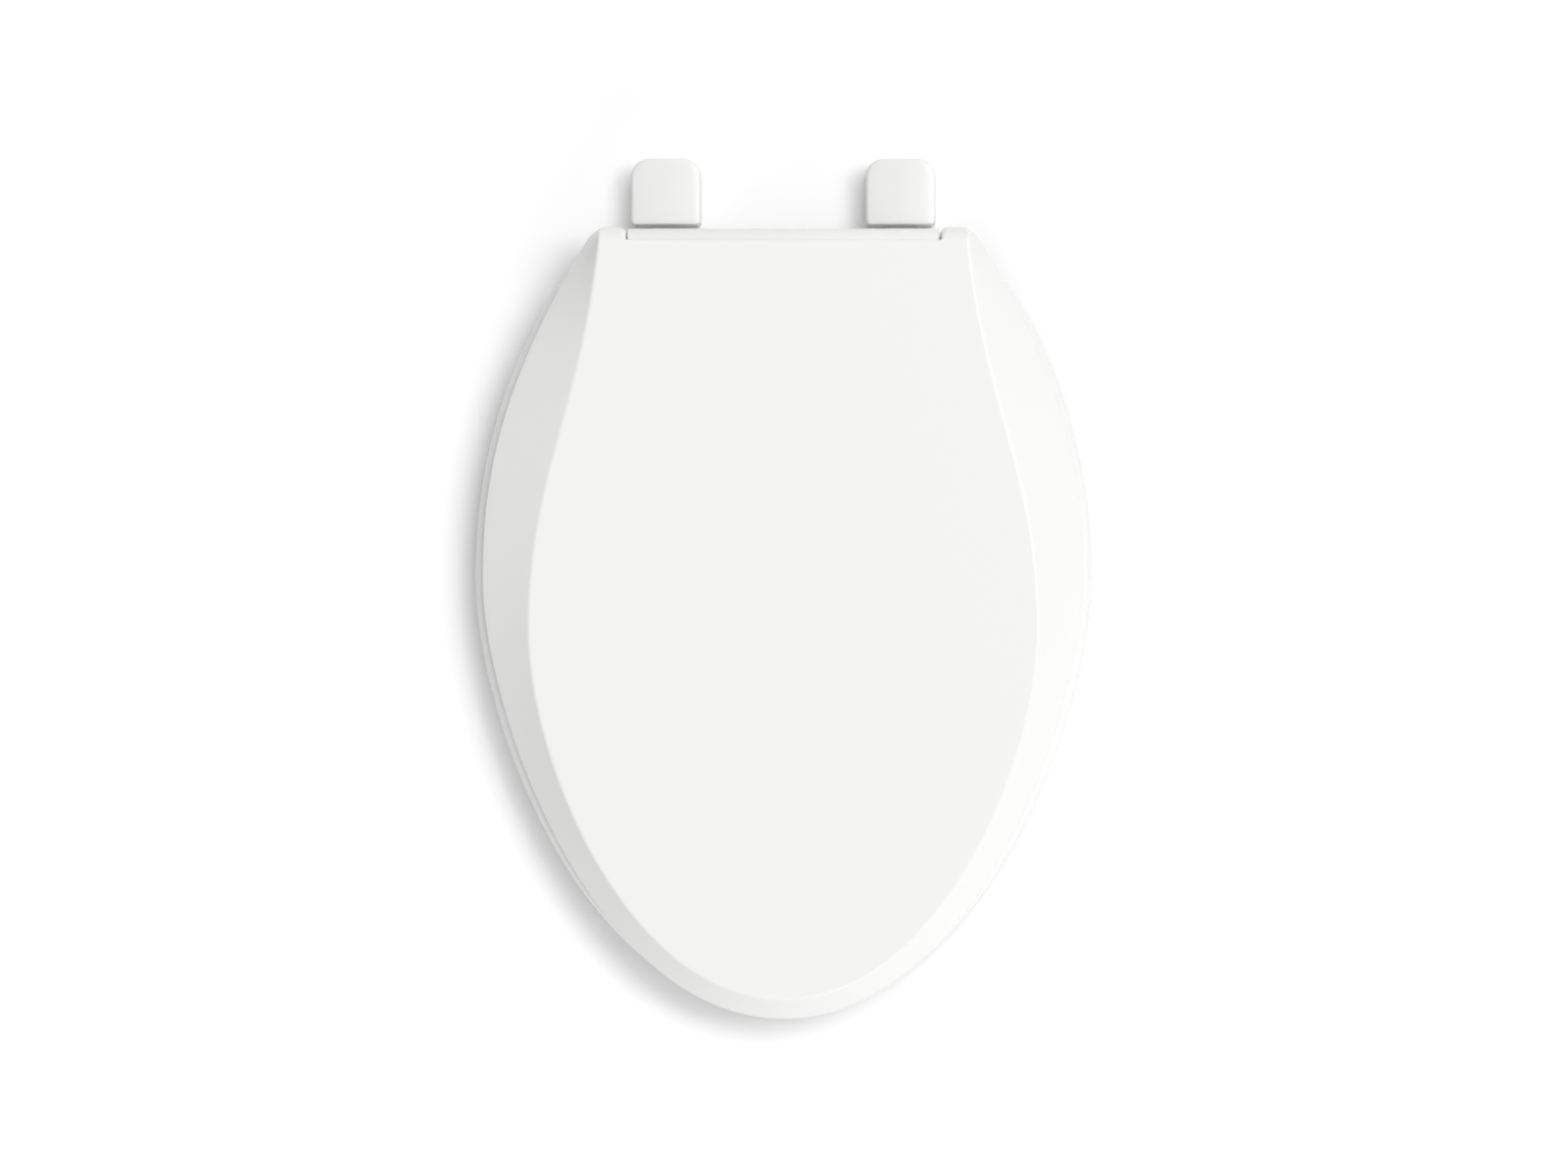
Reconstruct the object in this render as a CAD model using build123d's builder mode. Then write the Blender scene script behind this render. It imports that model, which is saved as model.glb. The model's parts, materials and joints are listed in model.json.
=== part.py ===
from build123d import *
import os
from math import acos, asin, atan2, cos, degrees, hypot, radians, sin, tan
from typing import NamedTuple

# Elongated toilet seat: a lid and a seat ring share one hinge line, carried by two
# posts that bolt to the deck of the bowl under snap-on caps.
# Frame: origin midway between the two bolt holes on the deck, +Y to the rear, +Z up.
# All sizes are in millimetres, and depths in front of the bolt line are positive here.

os.makedirs("parts", exist_ok=True)

# Deck fixing
bolt_spacing = 140.0
bolt_hole_d = 8.5
pad_thickness = 2.0
base_thickness = 6.0

# Hinge line: its place from the bolt line and the deck, its pins and how far the ring opens
hinge_forward = 27.0
hinge_height = 40.0
pin_d = 7.0
pin_end_play = 0.6
running_play = 0.06
seat_travel = 91.0

# Posts: a gooseneck runs forward under the hinge barrel and turns up into a knuckle
knuckle_d = 12.0
knuckle_width = 18.0
knuckle_side_play = 0.6
knuckle_play = 0.6
neck_thickness = 6.0
neck_play = 0.5
neck_reach = 10.5
neck_slope = 51.5
neck_bend = 5.0
base_front = 4.0

# Caps over the posts
cap_width = 42.0
cap_front = 14.0
cap_rear = 25.4
cap_height = 21.0
cap_crown = 2.2
cap_wall = 2.0
cap_rear_corner = 12.5
cap_front_corner = 2.0
plate_corner = 7.5
cap_edge = 4.0
cap_front_share = 0.15
cap_lift = 0.6
cap_play = 0.25
cap_rib = 2.0
cap_rib_reach = 5.0
cap_rib_pitch = 18.0
cap_cheek = 2.7
cap_slot_height = 10.0

# Bands that stand for a quarter round along a curved edge
round_bands = 2

# Lid: rim, wide sloping bevel and flat top
lid_front = 485.6
lid_half_width = 178.2
lid_widest = 225.0
lid_rear = 18.0
lid_rear_half_width = 112.0
lid_corner = 5.0
lid_rear_round = 8.0
round_bite = 0.02
lid_top = 52.5
lid_rim_gap = 1.0
lid_rim_edge = 3.5
lid_skin = 3.0
lid_hollow_step = 2.0
lid_hollow_inset = 1.2
lid_edge_inset = 1.8
lid_edge_share = 0.06
front_bevel = 13.4
side_bevel = 28.5
rear_bevel = 3.9
top_widest = 255.0

# Hinge rail of the ring, and the lid ears beside it
rail_half_length = 91.7
barrel_d = 17.0
ear_gap = 1.0
ear_wall = 3.3
ear_wall_depth = 18.0
ear_boss_length = 14.0
ear_boss_wall = 4.0
ear_chamfer = 2.6
notch_edge = 26.0

# Seat ring: reveal beyond the lid at the sides, section, opening and stiffening
ring_reveal = 5.0
ring_setback = 3.0
ring_widest = 224.0
ring_rear = 47.5
ring_rear_half_width = 133.7
ring_corner = 10.0
ring_bottom = 10.0
ring_top = 30.0
ring_wall = 4.0
ring_inner_wall = 7.5
ring_outer_edge = 7.0
ring_inner_edge = 12.0
opening_front = 412.0
opening_rear = 118.0
opening_half_width = 108.0
opening_widest = 262.0
opening_side_r = 240.0
rib_count = 12
rib_thickness = 2.5
rib_recess = 3.0
bridge_front = 95.0
bridge_thickness = 4.0
bridge_sink = 1.0
lug_width = 6.0
mid_rib = 5.0

# Handles of the outline curves: how far each curve runs on straight from its ends
rim_front_pull = 113.0
rim_fore_pull = 77.5
rim_aft_pull = 49.5
rim_lean_out = 61.0
rim_lean_ahead = 96.5
top_front_pull = 91.5
top_fore_pull = 77.5
top_aft_pull = 94.0
top_lean_out = 8.0
top_lean_ahead = 105.0
ring_front_pull = 120.0
ring_fore_pull = 82.0
ring_aft_pull = 107.0
ring_lean_out = 5.0
ring_lean_ahead = 14.0

# Rubber bumpers: oblong feet with a tongue pressed into a pocket, turned along the ring
seat_bumper_length = 26.0
seat_bumper_width = 15.0
seat_bumper_corner = 3.0
seat_bumper_chamfer = 2.0
seat_tongue_length = 14.0
seat_tongue_width = 4.0
seat_tongue_height = 9.0
seat_bumper_rear_x = 118.0
seat_bumper_rear = 105.0
seat_bumper_rear_turn = 107.0
seat_bumper_front_x = 92.0
seat_bumper_front = 400.0
seat_bumper_front_turn = 47.0
lid_bumper_length = 20.0
lid_bumper_width = 11.0
lid_bumper_height = 4.0
lid_bumper_corner = 2.5
lid_bumper_chamfer = 1.2
lid_tongue_length = 10.0
lid_tongue_width = 3.0
lid_tongue_height = 5.0
lid_bumper_x = 116.0
lid_bumper_front = 360.0
lid_bumper_turn = 63.0
lid_bumper_gap = 0.3
boss_wall = 2.5

# Places that follow from the sizes above
axis_y = -hinge_forward
axis_z = hinge_height
barrel_r = barrel_d / 2
bore_r = knuckle_d / 2 + knuckle_play
pin_bore_r = pin_d / 2 + running_play
post_x = bolt_spacing / 2
knuckle_in = post_x - knuckle_width / 2
knuckle_out = post_x + knuckle_width / 2
lug_in = knuckle_in - knuckle_side_play
lug_out = knuckle_out + knuckle_side_play
ear_inner = rail_half_length + ear_gap
ear_outer = ear_inner + ear_boss_length
pin_in = lug_in - lug_width
pin_out = ear_outer - ear_wall - pin_end_play
lid_rim = ring_top + lid_rim_gap
base_inset = cap_wall + cap_play
base_top = pad_thickness + base_thickness
foot_mid = pad_thickness + neck_thickness / 2
neck_y = axis_y - neck_reach
neck_bend_z = axis_z - neck_reach * tan(radians(neck_slope))
lid_bumper_top = ring_top + lid_bumper_gap + lid_bumper_height
seat_bumper_places = [
    (seat_bumper_front_x, -seat_bumper_front, seat_bumper_front_turn, "front_right"),
    (-seat_bumper_front_x, -seat_bumper_front, -seat_bumper_front_turn, "front_left"),
    (seat_bumper_rear_x, -seat_bumper_rear, seat_bumper_rear_turn, "rear_right"),
    (-seat_bumper_rear_x, -seat_bumper_rear, -seat_bumper_rear_turn, "rear_left"),
]
lid_bumper_places = [
    (lid_bumper_x, -lid_bumper_front, lid_bumper_turn, "right"),
    (-lid_bumper_x, -lid_bumper_front, -lid_bumper_turn, "left"),
]
upright = (Align.CENTER, Align.CENTER, Align.MIN)


class Outline(NamedTuple):
    """Half of a seat outline: two cubic curves that meet upright at the widest point."""

    front: float
    front_pull: float
    half_width: float
    widest: float
    fore_pull: float
    aft_pull: float
    rear_half_width: float
    rear: float
    lean_out: float
    lean_ahead: float
    corner: float


rim_outline = Outline(
    front=-lid_front,
    front_pull=rim_front_pull,
    half_width=lid_half_width,
    widest=-lid_widest,
    fore_pull=rim_fore_pull,
    aft_pull=rim_aft_pull,
    rear_half_width=lid_rear_half_width,
    rear=-lid_rear,
    lean_out=rim_lean_out,
    lean_ahead=rim_lean_ahead,
    corner=lid_corner,
)
top_outline = Outline(
    front=front_bevel - lid_front,
    front_pull=top_front_pull,
    half_width=lid_half_width - side_bevel,
    widest=-top_widest,
    fore_pull=top_fore_pull,
    aft_pull=top_aft_pull,
    rear_half_width=lid_rear_half_width - rear_bevel,
    rear=-lid_rear,
    lean_out=top_lean_out,
    lean_ahead=top_lean_ahead,
    corner=lid_corner,
)
ring_outline = Outline(
    front=ring_setback - lid_front,
    front_pull=ring_front_pull,
    half_width=lid_half_width + ring_reveal,
    widest=-ring_widest,
    fore_pull=ring_fore_pull,
    aft_pull=ring_aft_pull,
    rear_half_width=ring_rear_half_width,
    rear=-ring_rear,
    lean_out=ring_lean_out,
    lean_ahead=ring_lean_ahead,
    corner=ring_corner,
)


def seat_face(z, shape, inset=0.0):
    """A closed face at height z with a seat outline, moved inwards by inset."""
    front = shape.front + inset
    wide = shape.half_width - inset
    rear_x = shape.rear_half_width - inset
    rear = shape.rear - inset
    with BuildSketch(Plane.XY.offset(z)) as face:
        with BuildLine():
            Bezier(
                (0, front),
                (shape.front_pull, front),
                (wide, shape.widest - shape.fore_pull),
                (wide, shape.widest),
            )
            Bezier(
                (wide, shape.widest),
                (wide, shape.widest + shape.aft_pull),
                (rear_x + shape.lean_out, rear - shape.lean_ahead),
                (rear_x, rear),
            )
            Line((rear_x, rear), (0, rear))
            mirror(about=Plane.YZ)
        make_face()
        corners = face.vertices().group_by(Axis.Y)[-1].sort_by(Axis.X)
        fillet([corners[0], corners[-1]], radius=max(shape.corner - inset, 1.0))
    return face.sketch


def blend(start, end, share):
    """The outline that lies this share of the way from one outline to another."""
    return Outline(*[a + (b - a) * share for a, b in zip(start, end)])


def end_radius(wide, side_r, run):
    """Radius of the arc that ends the opening at this run from its widest, tangent to the side arcs."""
    return (2 * side_r * wide - wide**2 - run**2) / (2 * (side_r - run))


def opening_face(z, outset=0.0):
    """The seat opening at height z, moved outwards by outset: bowed sides between two rounder ends."""
    wide = opening_half_width + outset
    side_r = opening_side_r + outset
    run_front = opening_front - opening_widest + outset
    run_rear = opening_widest - opening_rear + outset
    front_r = end_radius(wide, side_r, run_front)
    rear_r = end_radius(wide, side_r, run_rear)
    front_turn = degrees(atan2(side_r - wide, run_front - front_r))
    rear_turn = degrees(atan2(side_r - wide, run_rear - rear_r))
    with BuildSketch(Plane.XY.offset(z)) as face:
        with BuildLine():
            front = JernArc((0, -opening_widest - run_front), (1, 0), front_r, front_turn)
            side = JernArc(front @ 1, front % 1, side_r, 180 - front_turn - rear_turn)
            JernArc(side @ 1, side % 1, rear_r, rear_turn)
            mirror(about=Plane.YZ)
        make_face()
    return face.sketch


def rounded_edge(radius):
    """Steps along a quarter round from the side to the top, as pairs of drop below the top and inset."""
    turns = [radians(90 * step / round_bands) for step in range(round_bands + 1)]
    return [(radius * (1 - sin(turn)), radius * (1 - cos(turn))) for turn in turns]


def spots(places, z):
    """The turned places of the bumpers at height z."""
    return [Location((x, y, z), (0, 0, turn)) for x, y, turn, name in places]


def cap_face(x, z, inset):
    """Plan of the cap at x, moved inwards by inset but less at the front, with well rounded rear corners."""
    front = inset * cap_front_share - cap_front
    rear = cap_rear - inset
    with BuildSketch(Plane.XY.offset(z)) as face:
        with Locations((x, (front + rear) / 2)):
            Rectangle(cap_width - 2 * inset, rear - front)
        chamfer(face.vertices().group_by(Axis.Y)[0], length=cap_front_corner)
        fillet(face.vertices().group_by(Axis.Y)[-1], radius=cap_rear_corner - inset)
    return face.sketch


def plate_face(x, z, inset, front):
    """Plan of what lies inside the cap at x, with cut corners at the rear, moved inwards by inset."""
    rear = cap_rear - inset
    with BuildSketch(Plane.XY.offset(z)) as face:
        with Locations((x, (front + rear) / 2)):
            Rectangle(cap_width - 2 * inset, rear - front)
        chamfer(face.vertices().group_by(Axis.Y)[-1], length=plate_corner)
    return face.sketch


def round_off(y, z, radius):
    """The waste outside a round at the rear upper corner (y, z), as a face in the YZ plane."""
    with BuildSketch(Plane.YZ) as waste:
        with Locations((y - radius + round_bite, z - radius + round_bite)):
            Rectangle(2 * radius, 2 * radius, align=(Align.MIN, Align.MIN))
            Circle(radius, mode=Mode.SUBTRACT)
    return waste.sketch


def about_axis(angle, radius):
    """A point in the YZ plane by its angle about the hinge axis, from forward through up to the rear."""
    turn = radians(angle)
    return (axis_y - radius * cos(turn), axis_z + radius * sin(turn))


# Hinge pieces on each side: pad, post, cap and pin
for side, name in ((1, "right"), (-1, "left")):
    x = side * post_x

    with BuildPart() as post_pad:
        extrude(plate_face(x, 0, base_inset, base_inset - cap_front), amount=pad_thickness)
        with Locations((x, 0, pad_thickness)):
            Hole(bolt_hole_d / 2)
    post_pad.part.label = f"post_pad_{name}"
    export_step(post_pad.part, f"parts/post_pad_{name}.step")

    with BuildPart() as hinge_post:
        extrude(plate_face(x, pad_thickness, base_inset, -base_front), amount=base_thickness)
        with BuildSketch(Plane.YZ.offset(x - knuckle_width / 2)):
            with BuildLine():
                FilletPolyline(
                    (base_front, foot_mid),
                    (neck_y, foot_mid),
                    (neck_y, neck_bend_z),
                    (axis_y, axis_z),
                    radius=neck_bend,
                )
            trace(line_width=neck_thickness)
            with Locations((axis_y, axis_z)):
                Circle(knuckle_d / 2)
                Circle(pin_d / 2, mode=Mode.SUBTRACT)
        extrude(amount=knuckle_width)
        with Locations((x, 0, base_top)):
            Hole(bolt_hole_d / 2)
    hinge_post.part.label = f"hinge_post_{name}"
    export_step(hinge_post.part, f"parts/hinge_post_{name}.step")

    # The cap's inside, less the four ribs that stand on the base
    with BuildPart() as cap_hollow:
        extrude(
            plate_face(x, cap_lift, cap_wall, cap_wall - cap_front),
            amount=cap_height - cap_lift - cap_crown - cap_wall,
        )
        with Locations((x, (cap_rear - cap_front) / 2, base_top)):
            with GridLocations(cap_width - 2 * cap_wall - cap_rib_reach, cap_rib_pitch, 2, 2):
                Box(cap_rib_reach, cap_rib, cap_height, align=upright, mode=Mode.SUBTRACT)

    with BuildPart() as hinge_cap:
        loft(
            [cap_face(x, cap_lift, 0)]
            + [cap_face(x, cap_height - drop, inset) for drop, inset in rounded_edge(cap_edge)],
            ruled=True,
        )
        with BuildSketch(Plane.XZ.offset(-cap_rear)):
            with BuildLine():
                crown = ThreePointArc(
                    (x - cap_width / 2, cap_height - cap_crown),
                    (x, cap_height),
                    (x + cap_width / 2, cap_height - cap_crown),
                )
                Polyline(
                    crown @ 1,
                    (x + cap_width / 2, 0),
                    (x - cap_width / 2, 0),
                    crown @ 0,
                )
            make_face()
        extrude(amount=cap_front + cap_rear, mode=Mode.INTERSECT)
        add(cap_hollow.part, mode=Mode.SUBTRACT)
        with Locations((x, -cap_front, 0)):
            Box(cap_width - 2 * cap_cheek, 3 * cap_wall, 2 * cap_slot_height, mode=Mode.SUBTRACT)
    hinge_cap.part.label = f"hinge_cap_{name}"
    export_step(hinge_cap.part, f"parts/hinge_cap_{name}.step")

    with BuildPart() as hinge_pin:
        with BuildSketch(Plane.YZ.offset(side * pin_in)):
            with Locations((axis_y, axis_z)):
                Circle(pin_d / 2)
        extrude(amount=side * (pin_out - pin_in))
    hinge_pin.part.label = f"hinge_pin_{name}"
    export_step(hinge_pin.part, f"parts/hinge_pin_{name}.step")

# The ring's hollow underside, less its ribs and bumper bosses
ring_hollow_depth = ring_top - ring_bottom - ring_wall

with BuildPart() as ring_hollow:
    loft(
        [
            seat_face(ring_bottom, ring_outline, ring_wall),
            seat_face(ring_bottom + ring_hollow_depth, ring_outline, ring_wall),
        ],
        ruled=True,
    )
    extrude(opening_face(ring_bottom, ring_inner_wall), amount=ring_hollow_depth, mode=Mode.SUBTRACT)
    with Locations((0, -opening_widest, ring_bottom + rib_recess)):
        with PolarLocations(lid_front / 2, rib_count, start_angle=180 / rib_count):
            Box(lid_front, rib_thickness, ring_top, align=upright, mode=Mode.SUBTRACT)
    with Locations(*spots(seat_bumper_places, ring_bottom)):
        Box(
            seat_tongue_length + 2 * boss_wall,
            seat_tongue_width + 2 * boss_wall,
            ring_top,
            align=upright,
            mode=Mode.SUBTRACT,
        )

# The ring's hinge bridge climbs from the ring's top and lies tangent to the barrel
bridge_tip = (-bridge_front, ring_top - bridge_sink)
bridge_run = bridge_front - hinge_forward
bridge_rise = ring_top - bridge_sink - axis_z
tangent_angle = degrees(
    atan2(bridge_rise, bridge_run) + acos(barrel_r / hypot(bridge_run, bridge_rise))
)
bridge_heel = (bridge_thickness / cos(radians(tangent_angle)) - bridge_front, ring_top - bridge_sink)
slot_half = degrees(asin((neck_thickness / 2 + neck_play) / bore_r))
slot_front = slot_half - neck_slope
slot_rear = -slot_half - neck_slope - seat_travel
lug_spans = [
    (-mid_rib / 2, mid_rib / 2),
    (pin_in, lug_in),
    (lug_out, rail_half_length),
    (-lug_in, -pin_in),
    (-rail_half_length, -lug_out),
]

with BuildPart() as seat_ring:
    loft(
        [seat_face(ring_bottom, ring_outline)]
        + [seat_face(ring_top - drop, ring_outline, inset) for drop, inset in rounded_edge(ring_outer_edge)],
        ruled=True,
    )
    loft(
        [opening_face(ring_bottom)]
        + [opening_face(ring_top - drop, outset) for drop, outset in rounded_edge(ring_inner_edge)],
        ruled=True,
        mode=Mode.SUBTRACT,
    )
    add(ring_hollow.part, mode=Mode.SUBTRACT)
    with BuildSketch(Plane.YZ.offset(-rail_half_length)):
        with Locations((axis_y, axis_z)):
            Circle(barrel_r)
        with BuildLine():
            Polyline(
                about_axis(tangent_angle, barrel_r),
                bridge_tip,
                bridge_heel,
                about_axis(tangent_angle, barrel_r - bridge_thickness),
                close=True,
            )
        make_face()
        with Locations((axis_y, axis_z)):
            Circle(bore_r, mode=Mode.SUBTRACT)
        with BuildLine():
            Polyline(
                (axis_y, axis_z),
                about_axis(slot_front, barrel_d),
                about_axis((slot_front + slot_rear) / 2, barrel_d),
                about_axis(slot_rear, barrel_d),
                close=True,
            )
        make_face(mode=Mode.SUBTRACT)
    extrude(amount=2 * rail_half_length)
    for start, end in lug_spans:
        with BuildSketch(Plane.YZ.offset(start)):
            with Locations((axis_y, axis_z)):
                Circle(barrel_r)
            with BuildLine():
                Polyline(
                    (axis_y, axis_z),
                    about_axis(tangent_angle, barrel_r),
                    bridge_tip,
                    (-ring_rear - ring_outer_edge, ring_top - bridge_sink),
                    about_axis(-90, barrel_r),
                    close=True,
                )
            make_face()
        extrude(amount=end - start)
    for side in (1, -1):
        with BuildSketch(Plane.YZ.offset(side * pin_in)):
            with Locations((axis_y, axis_z)):
                Circle(pin_bore_r)
        extrude(amount=side * (rail_half_length - pin_in), mode=Mode.SUBTRACT)
    with Locations(*spots(seat_bumper_places, ring_bottom)):
        Box(seat_tongue_length, seat_tongue_width, seat_tongue_height, align=upright, mode=Mode.SUBTRACT)
seat_ring.part.label = "seat_ring"
export_step(seat_ring.part, "parts/seat_ring.step")

for x, y, turn, name in seat_bumper_places:
    with BuildPart() as seat_bumper:
        with Locations(Location((x, y, 0), (0, 0, turn))):
            Box(seat_bumper_length, seat_bumper_width, ring_bottom, align=upright)
        chamfer(seat_bumper.edges().filter_by(Axis.Z), length=seat_bumper_corner)
        chamfer(seat_bumper.edges().group_by(Axis.Z)[0], length=seat_bumper_chamfer)
        with Locations(Location((x, y, ring_bottom), (0, 0, turn))):
            Box(seat_tongue_length, seat_tongue_width, seat_tongue_height, align=upright)
    seat_bumper.part.label = f"seat_bumper_{name}"
    export_step(seat_bumper.part, f"parts/seat_bumper_{name}.step")

# The lid's inside, less its ear walls, pin bosses and bumper bosses
hollow_top = lid_top - lid_skin
bevel_foot = lid_rim + lid_rim_edge
soft_edge_foot = lid_top - (lid_top - bevel_foot) * lid_edge_share
hollow_outline = top_outline._replace(rear=lid_hollow_inset - lid_skin - lid_rear)

with BuildPart() as lid_hollow:
    loft(
        [
            seat_face(lid_rim, rim_outline, lid_skin),
            seat_face(lid_rim + lid_hollow_step, rim_outline, lid_skin),
            seat_face(hollow_top, hollow_outline, lid_hollow_inset),
        ],
        ruled=True,
    )
    extrude(
        round_off(-lid_rear - lid_skin, hollow_top, lid_rear_round - lid_skin),
        amount=lid_half_width,
        both=True,
        mode=Mode.SUBTRACT,
    )
    for side in (1, -1):
        with BuildSketch(Plane.YZ.offset(side * ear_inner)):
            with Locations((axis_y, axis_z)):
                Rectangle(2 * ear_wall_depth, 2 * lid_top)
        extrude(amount=side * ear_wall, mode=Mode.SUBTRACT)
        with BuildSketch(Plane.YZ.offset(side * ear_inner)):
            with Locations((axis_y, axis_z)):
                Circle(pin_d / 2 + ear_boss_wall)
                Rectangle(lid_skin, lid_top, align=(Align.CENTER, Align.MIN))
        extrude(amount=side * ear_boss_length, mode=Mode.SUBTRACT)
    with Locations(*spots(lid_bumper_places, lid_bumper_top)):
        Box(
            lid_tongue_length + 2 * boss_wall,
            lid_tongue_width + 2 * boss_wall,
            lid_top,
            align=upright,
            mode=Mode.SUBTRACT,
        )

with BuildPart() as lid:
    loft(
        [
            seat_face(lid_rim, rim_outline),
            seat_face(bevel_foot, rim_outline),
            seat_face(soft_edge_foot, blend(top_outline, rim_outline, lid_edge_share)),
            seat_face(lid_top, top_outline, lid_edge_inset),
        ],
        ruled=True,
    )
    extrude(
        round_off(-lid_rear, lid_top, lid_rear_round),
        amount=lid_half_width,
        both=True,
        mode=Mode.SUBTRACT,
    )
    add(lid_hollow.part, mode=Mode.SUBTRACT)
    with BuildSketch(Plane.XY.offset(lid_rim - lid_skin)):
        with BuildLine():
            Polyline(
                (0, -notch_edge),
                (ear_inner, -notch_edge),
                (ear_inner, -lid_rear - ear_chamfer),
                (ear_inner + 2 * ear_chamfer, ear_chamfer - lid_rear),
                (0, ear_chamfer - lid_rear),
            )
            mirror(about=Plane.YZ)
        make_face()
    extrude(amount=lid_top, mode=Mode.SUBTRACT)
    for side in (1, -1):
        with BuildSketch(Plane.YZ.offset(side * ear_inner)):
            with Locations((axis_y, axis_z)):
                Circle(pin_bore_r)
        extrude(amount=side * (ear_boss_length - ear_wall), mode=Mode.SUBTRACT)
    with Locations(*spots(lid_bumper_places, lid_bumper_top)):
        Box(lid_tongue_length, lid_tongue_width, lid_tongue_height, align=upright, mode=Mode.SUBTRACT)
lid.part.label = "lid"
export_step(lid.part, "parts/lid.step")

for x, y, turn, name in lid_bumper_places:
    with BuildPart() as lid_bumper:
        with Locations(Location((x, y, ring_top + lid_bumper_gap), (0, 0, turn))):
            Box(lid_bumper_length, lid_bumper_width, lid_bumper_height, align=upright)
        chamfer(lid_bumper.edges().filter_by(Axis.Z), length=lid_bumper_corner)
        chamfer(lid_bumper.edges().group_by(Axis.Z)[0], length=lid_bumper_chamfer)
        with Locations(Location((x, y, lid_bumper_top), (0, 0, turn))):
            Box(lid_tongue_length, lid_tongue_width, lid_tongue_height, align=upright)
    lid_bumper.part.label = f"lid_bumper_{name}"
    export_step(lid_bumper.part, f"parts/lid_bumper_{name}.step")
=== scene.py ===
import json
from math import acos, atan2, cos, hypot, pi, radians, sin
from typing import NamedTuple

import bmesh
import bpy
import numpy as np
from bpy.props import FloatProperty, FloatVectorProperty, PointerProperty
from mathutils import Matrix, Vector


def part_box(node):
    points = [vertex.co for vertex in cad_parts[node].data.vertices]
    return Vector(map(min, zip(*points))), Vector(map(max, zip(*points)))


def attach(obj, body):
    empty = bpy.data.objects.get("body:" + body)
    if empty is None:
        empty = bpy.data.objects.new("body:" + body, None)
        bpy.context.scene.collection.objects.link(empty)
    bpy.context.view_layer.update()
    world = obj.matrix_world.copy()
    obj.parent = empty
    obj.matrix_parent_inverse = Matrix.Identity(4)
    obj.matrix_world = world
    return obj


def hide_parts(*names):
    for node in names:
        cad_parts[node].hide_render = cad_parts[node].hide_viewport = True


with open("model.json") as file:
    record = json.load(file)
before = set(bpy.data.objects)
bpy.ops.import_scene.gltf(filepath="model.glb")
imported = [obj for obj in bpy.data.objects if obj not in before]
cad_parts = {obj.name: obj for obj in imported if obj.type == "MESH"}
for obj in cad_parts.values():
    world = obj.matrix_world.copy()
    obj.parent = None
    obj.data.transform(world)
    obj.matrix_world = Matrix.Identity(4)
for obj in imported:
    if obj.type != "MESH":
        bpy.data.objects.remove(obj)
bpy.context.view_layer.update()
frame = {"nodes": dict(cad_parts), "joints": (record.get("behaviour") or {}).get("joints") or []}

bl_info = {
    "name": "Toilet seat",
    "version": (1, 0, 0),
    "blender": (4, 5, 0),
    "location": "3D View > Sidebar > Toilet seat",
    "description": "Lid, seat ring, hinge caps and bumpers of an elongated toilet seat, with its studio",
    "category": "Add Mesh",
}

# Sizes and places are in metres: +X along the hinge line, +Y to the rear, +Z up
MM = 0.001
MERGE = 1e-6
LID_LOW, LID_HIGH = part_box("lid")
RING_LOW, RING_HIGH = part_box("seat_ring")
RING_TOP = 30.0 * MM
CAP_LOW, CAP_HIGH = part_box("hinge_cap_right")
POST_X = (CAP_LOW.x + CAP_HIGH.x) / 2
HINGE_Y, HINGE_Z = frame["joints"][0]["pos_m"][1:]

# The ring's opening: its ends and its widest line along Y, half its width there, and the radius of its sides
OPENING_FRONT = -412.0 * MM
OPENING_REAR = -118.0 * MM
OPENING_WIDEST = -262.0 * MM
OPENING_HALF_WIDTH = 108.0 * MM
OPENING_SIDE_RADIUS = 240.0 * MM

# The bumpers: the middle of each in plan with its turn about Z, and the heights of those under the lid
SEAT_BUMPERS = {
    "front_right": (92.0 * MM, -400.0 * MM, radians(47)),
    "front_left": (-92.0 * MM, -400.0 * MM, -radians(47)),
    "rear_right": (118.0 * MM, -105.0 * MM, radians(107)),
    "rear_left": (-118.0 * MM, -105.0 * MM, -radians(107)),
}
LID_BUMPERS = {
    "right": (116.0 * MM, -360.0 * MM, radians(63)),
    "left": (-116.0 * MM, -360.0 * MM, -radians(63)),
}
LID_BUMPER_LOW = 30.3 * MM
LID_BUMPER_HIGH = 34.3 * MM


class HalfOutline(NamedTuple):
    """Right half of a seat outline: two cubic curves that meet upright at the widest point."""

    front: float
    front_pull: float
    half_width: float
    widest: float
    fore_pull: float
    aft_pull: float
    rear_half_width: float
    rear: float
    lean_out: float
    lean_ahead: float
    corner: float


RIM = HalfOutline(
    front=LID_LOW.y,
    front_pull=113.0 * MM,
    half_width=LID_HIGH.x,
    widest=-225.0 * MM,
    fore_pull=77.5 * MM,
    aft_pull=49.5 * MM,
    rear_half_width=112.0 * MM,
    rear=-18.0 * MM,
    lean_out=61.0 * MM,
    lean_ahead=96.5 * MM,
    corner=5.0 * MM,
)
CREST = HalfOutline(
    front=LID_LOW.y + 13.4 * MM,
    front_pull=91.5 * MM,
    half_width=LID_HIGH.x - 28.5 * MM,
    widest=-255.0 * MM,
    fore_pull=77.5 * MM,
    aft_pull=94.0 * MM,
    rear_half_width=108.1 * MM,
    rear=-18.0 * MM,
    lean_out=8.0 * MM,
    lean_ahead=105.0 * MM,
    corner=5.0 * MM,
)
RING = HalfOutline(
    front=RING_LOW.y,
    front_pull=120.0 * MM,
    half_width=RING_HIGH.x,
    widest=-224.0 * MM,
    fore_pull=82.0 * MM,
    aft_pull=107.0 * MM,
    rear_half_width=133.7 * MM,
    rear=-47.5 * MM,
    lean_out=5.0 * MM,
    lean_ahead=14.0 * MM,
    corner=10.0 * MM,
)


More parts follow.
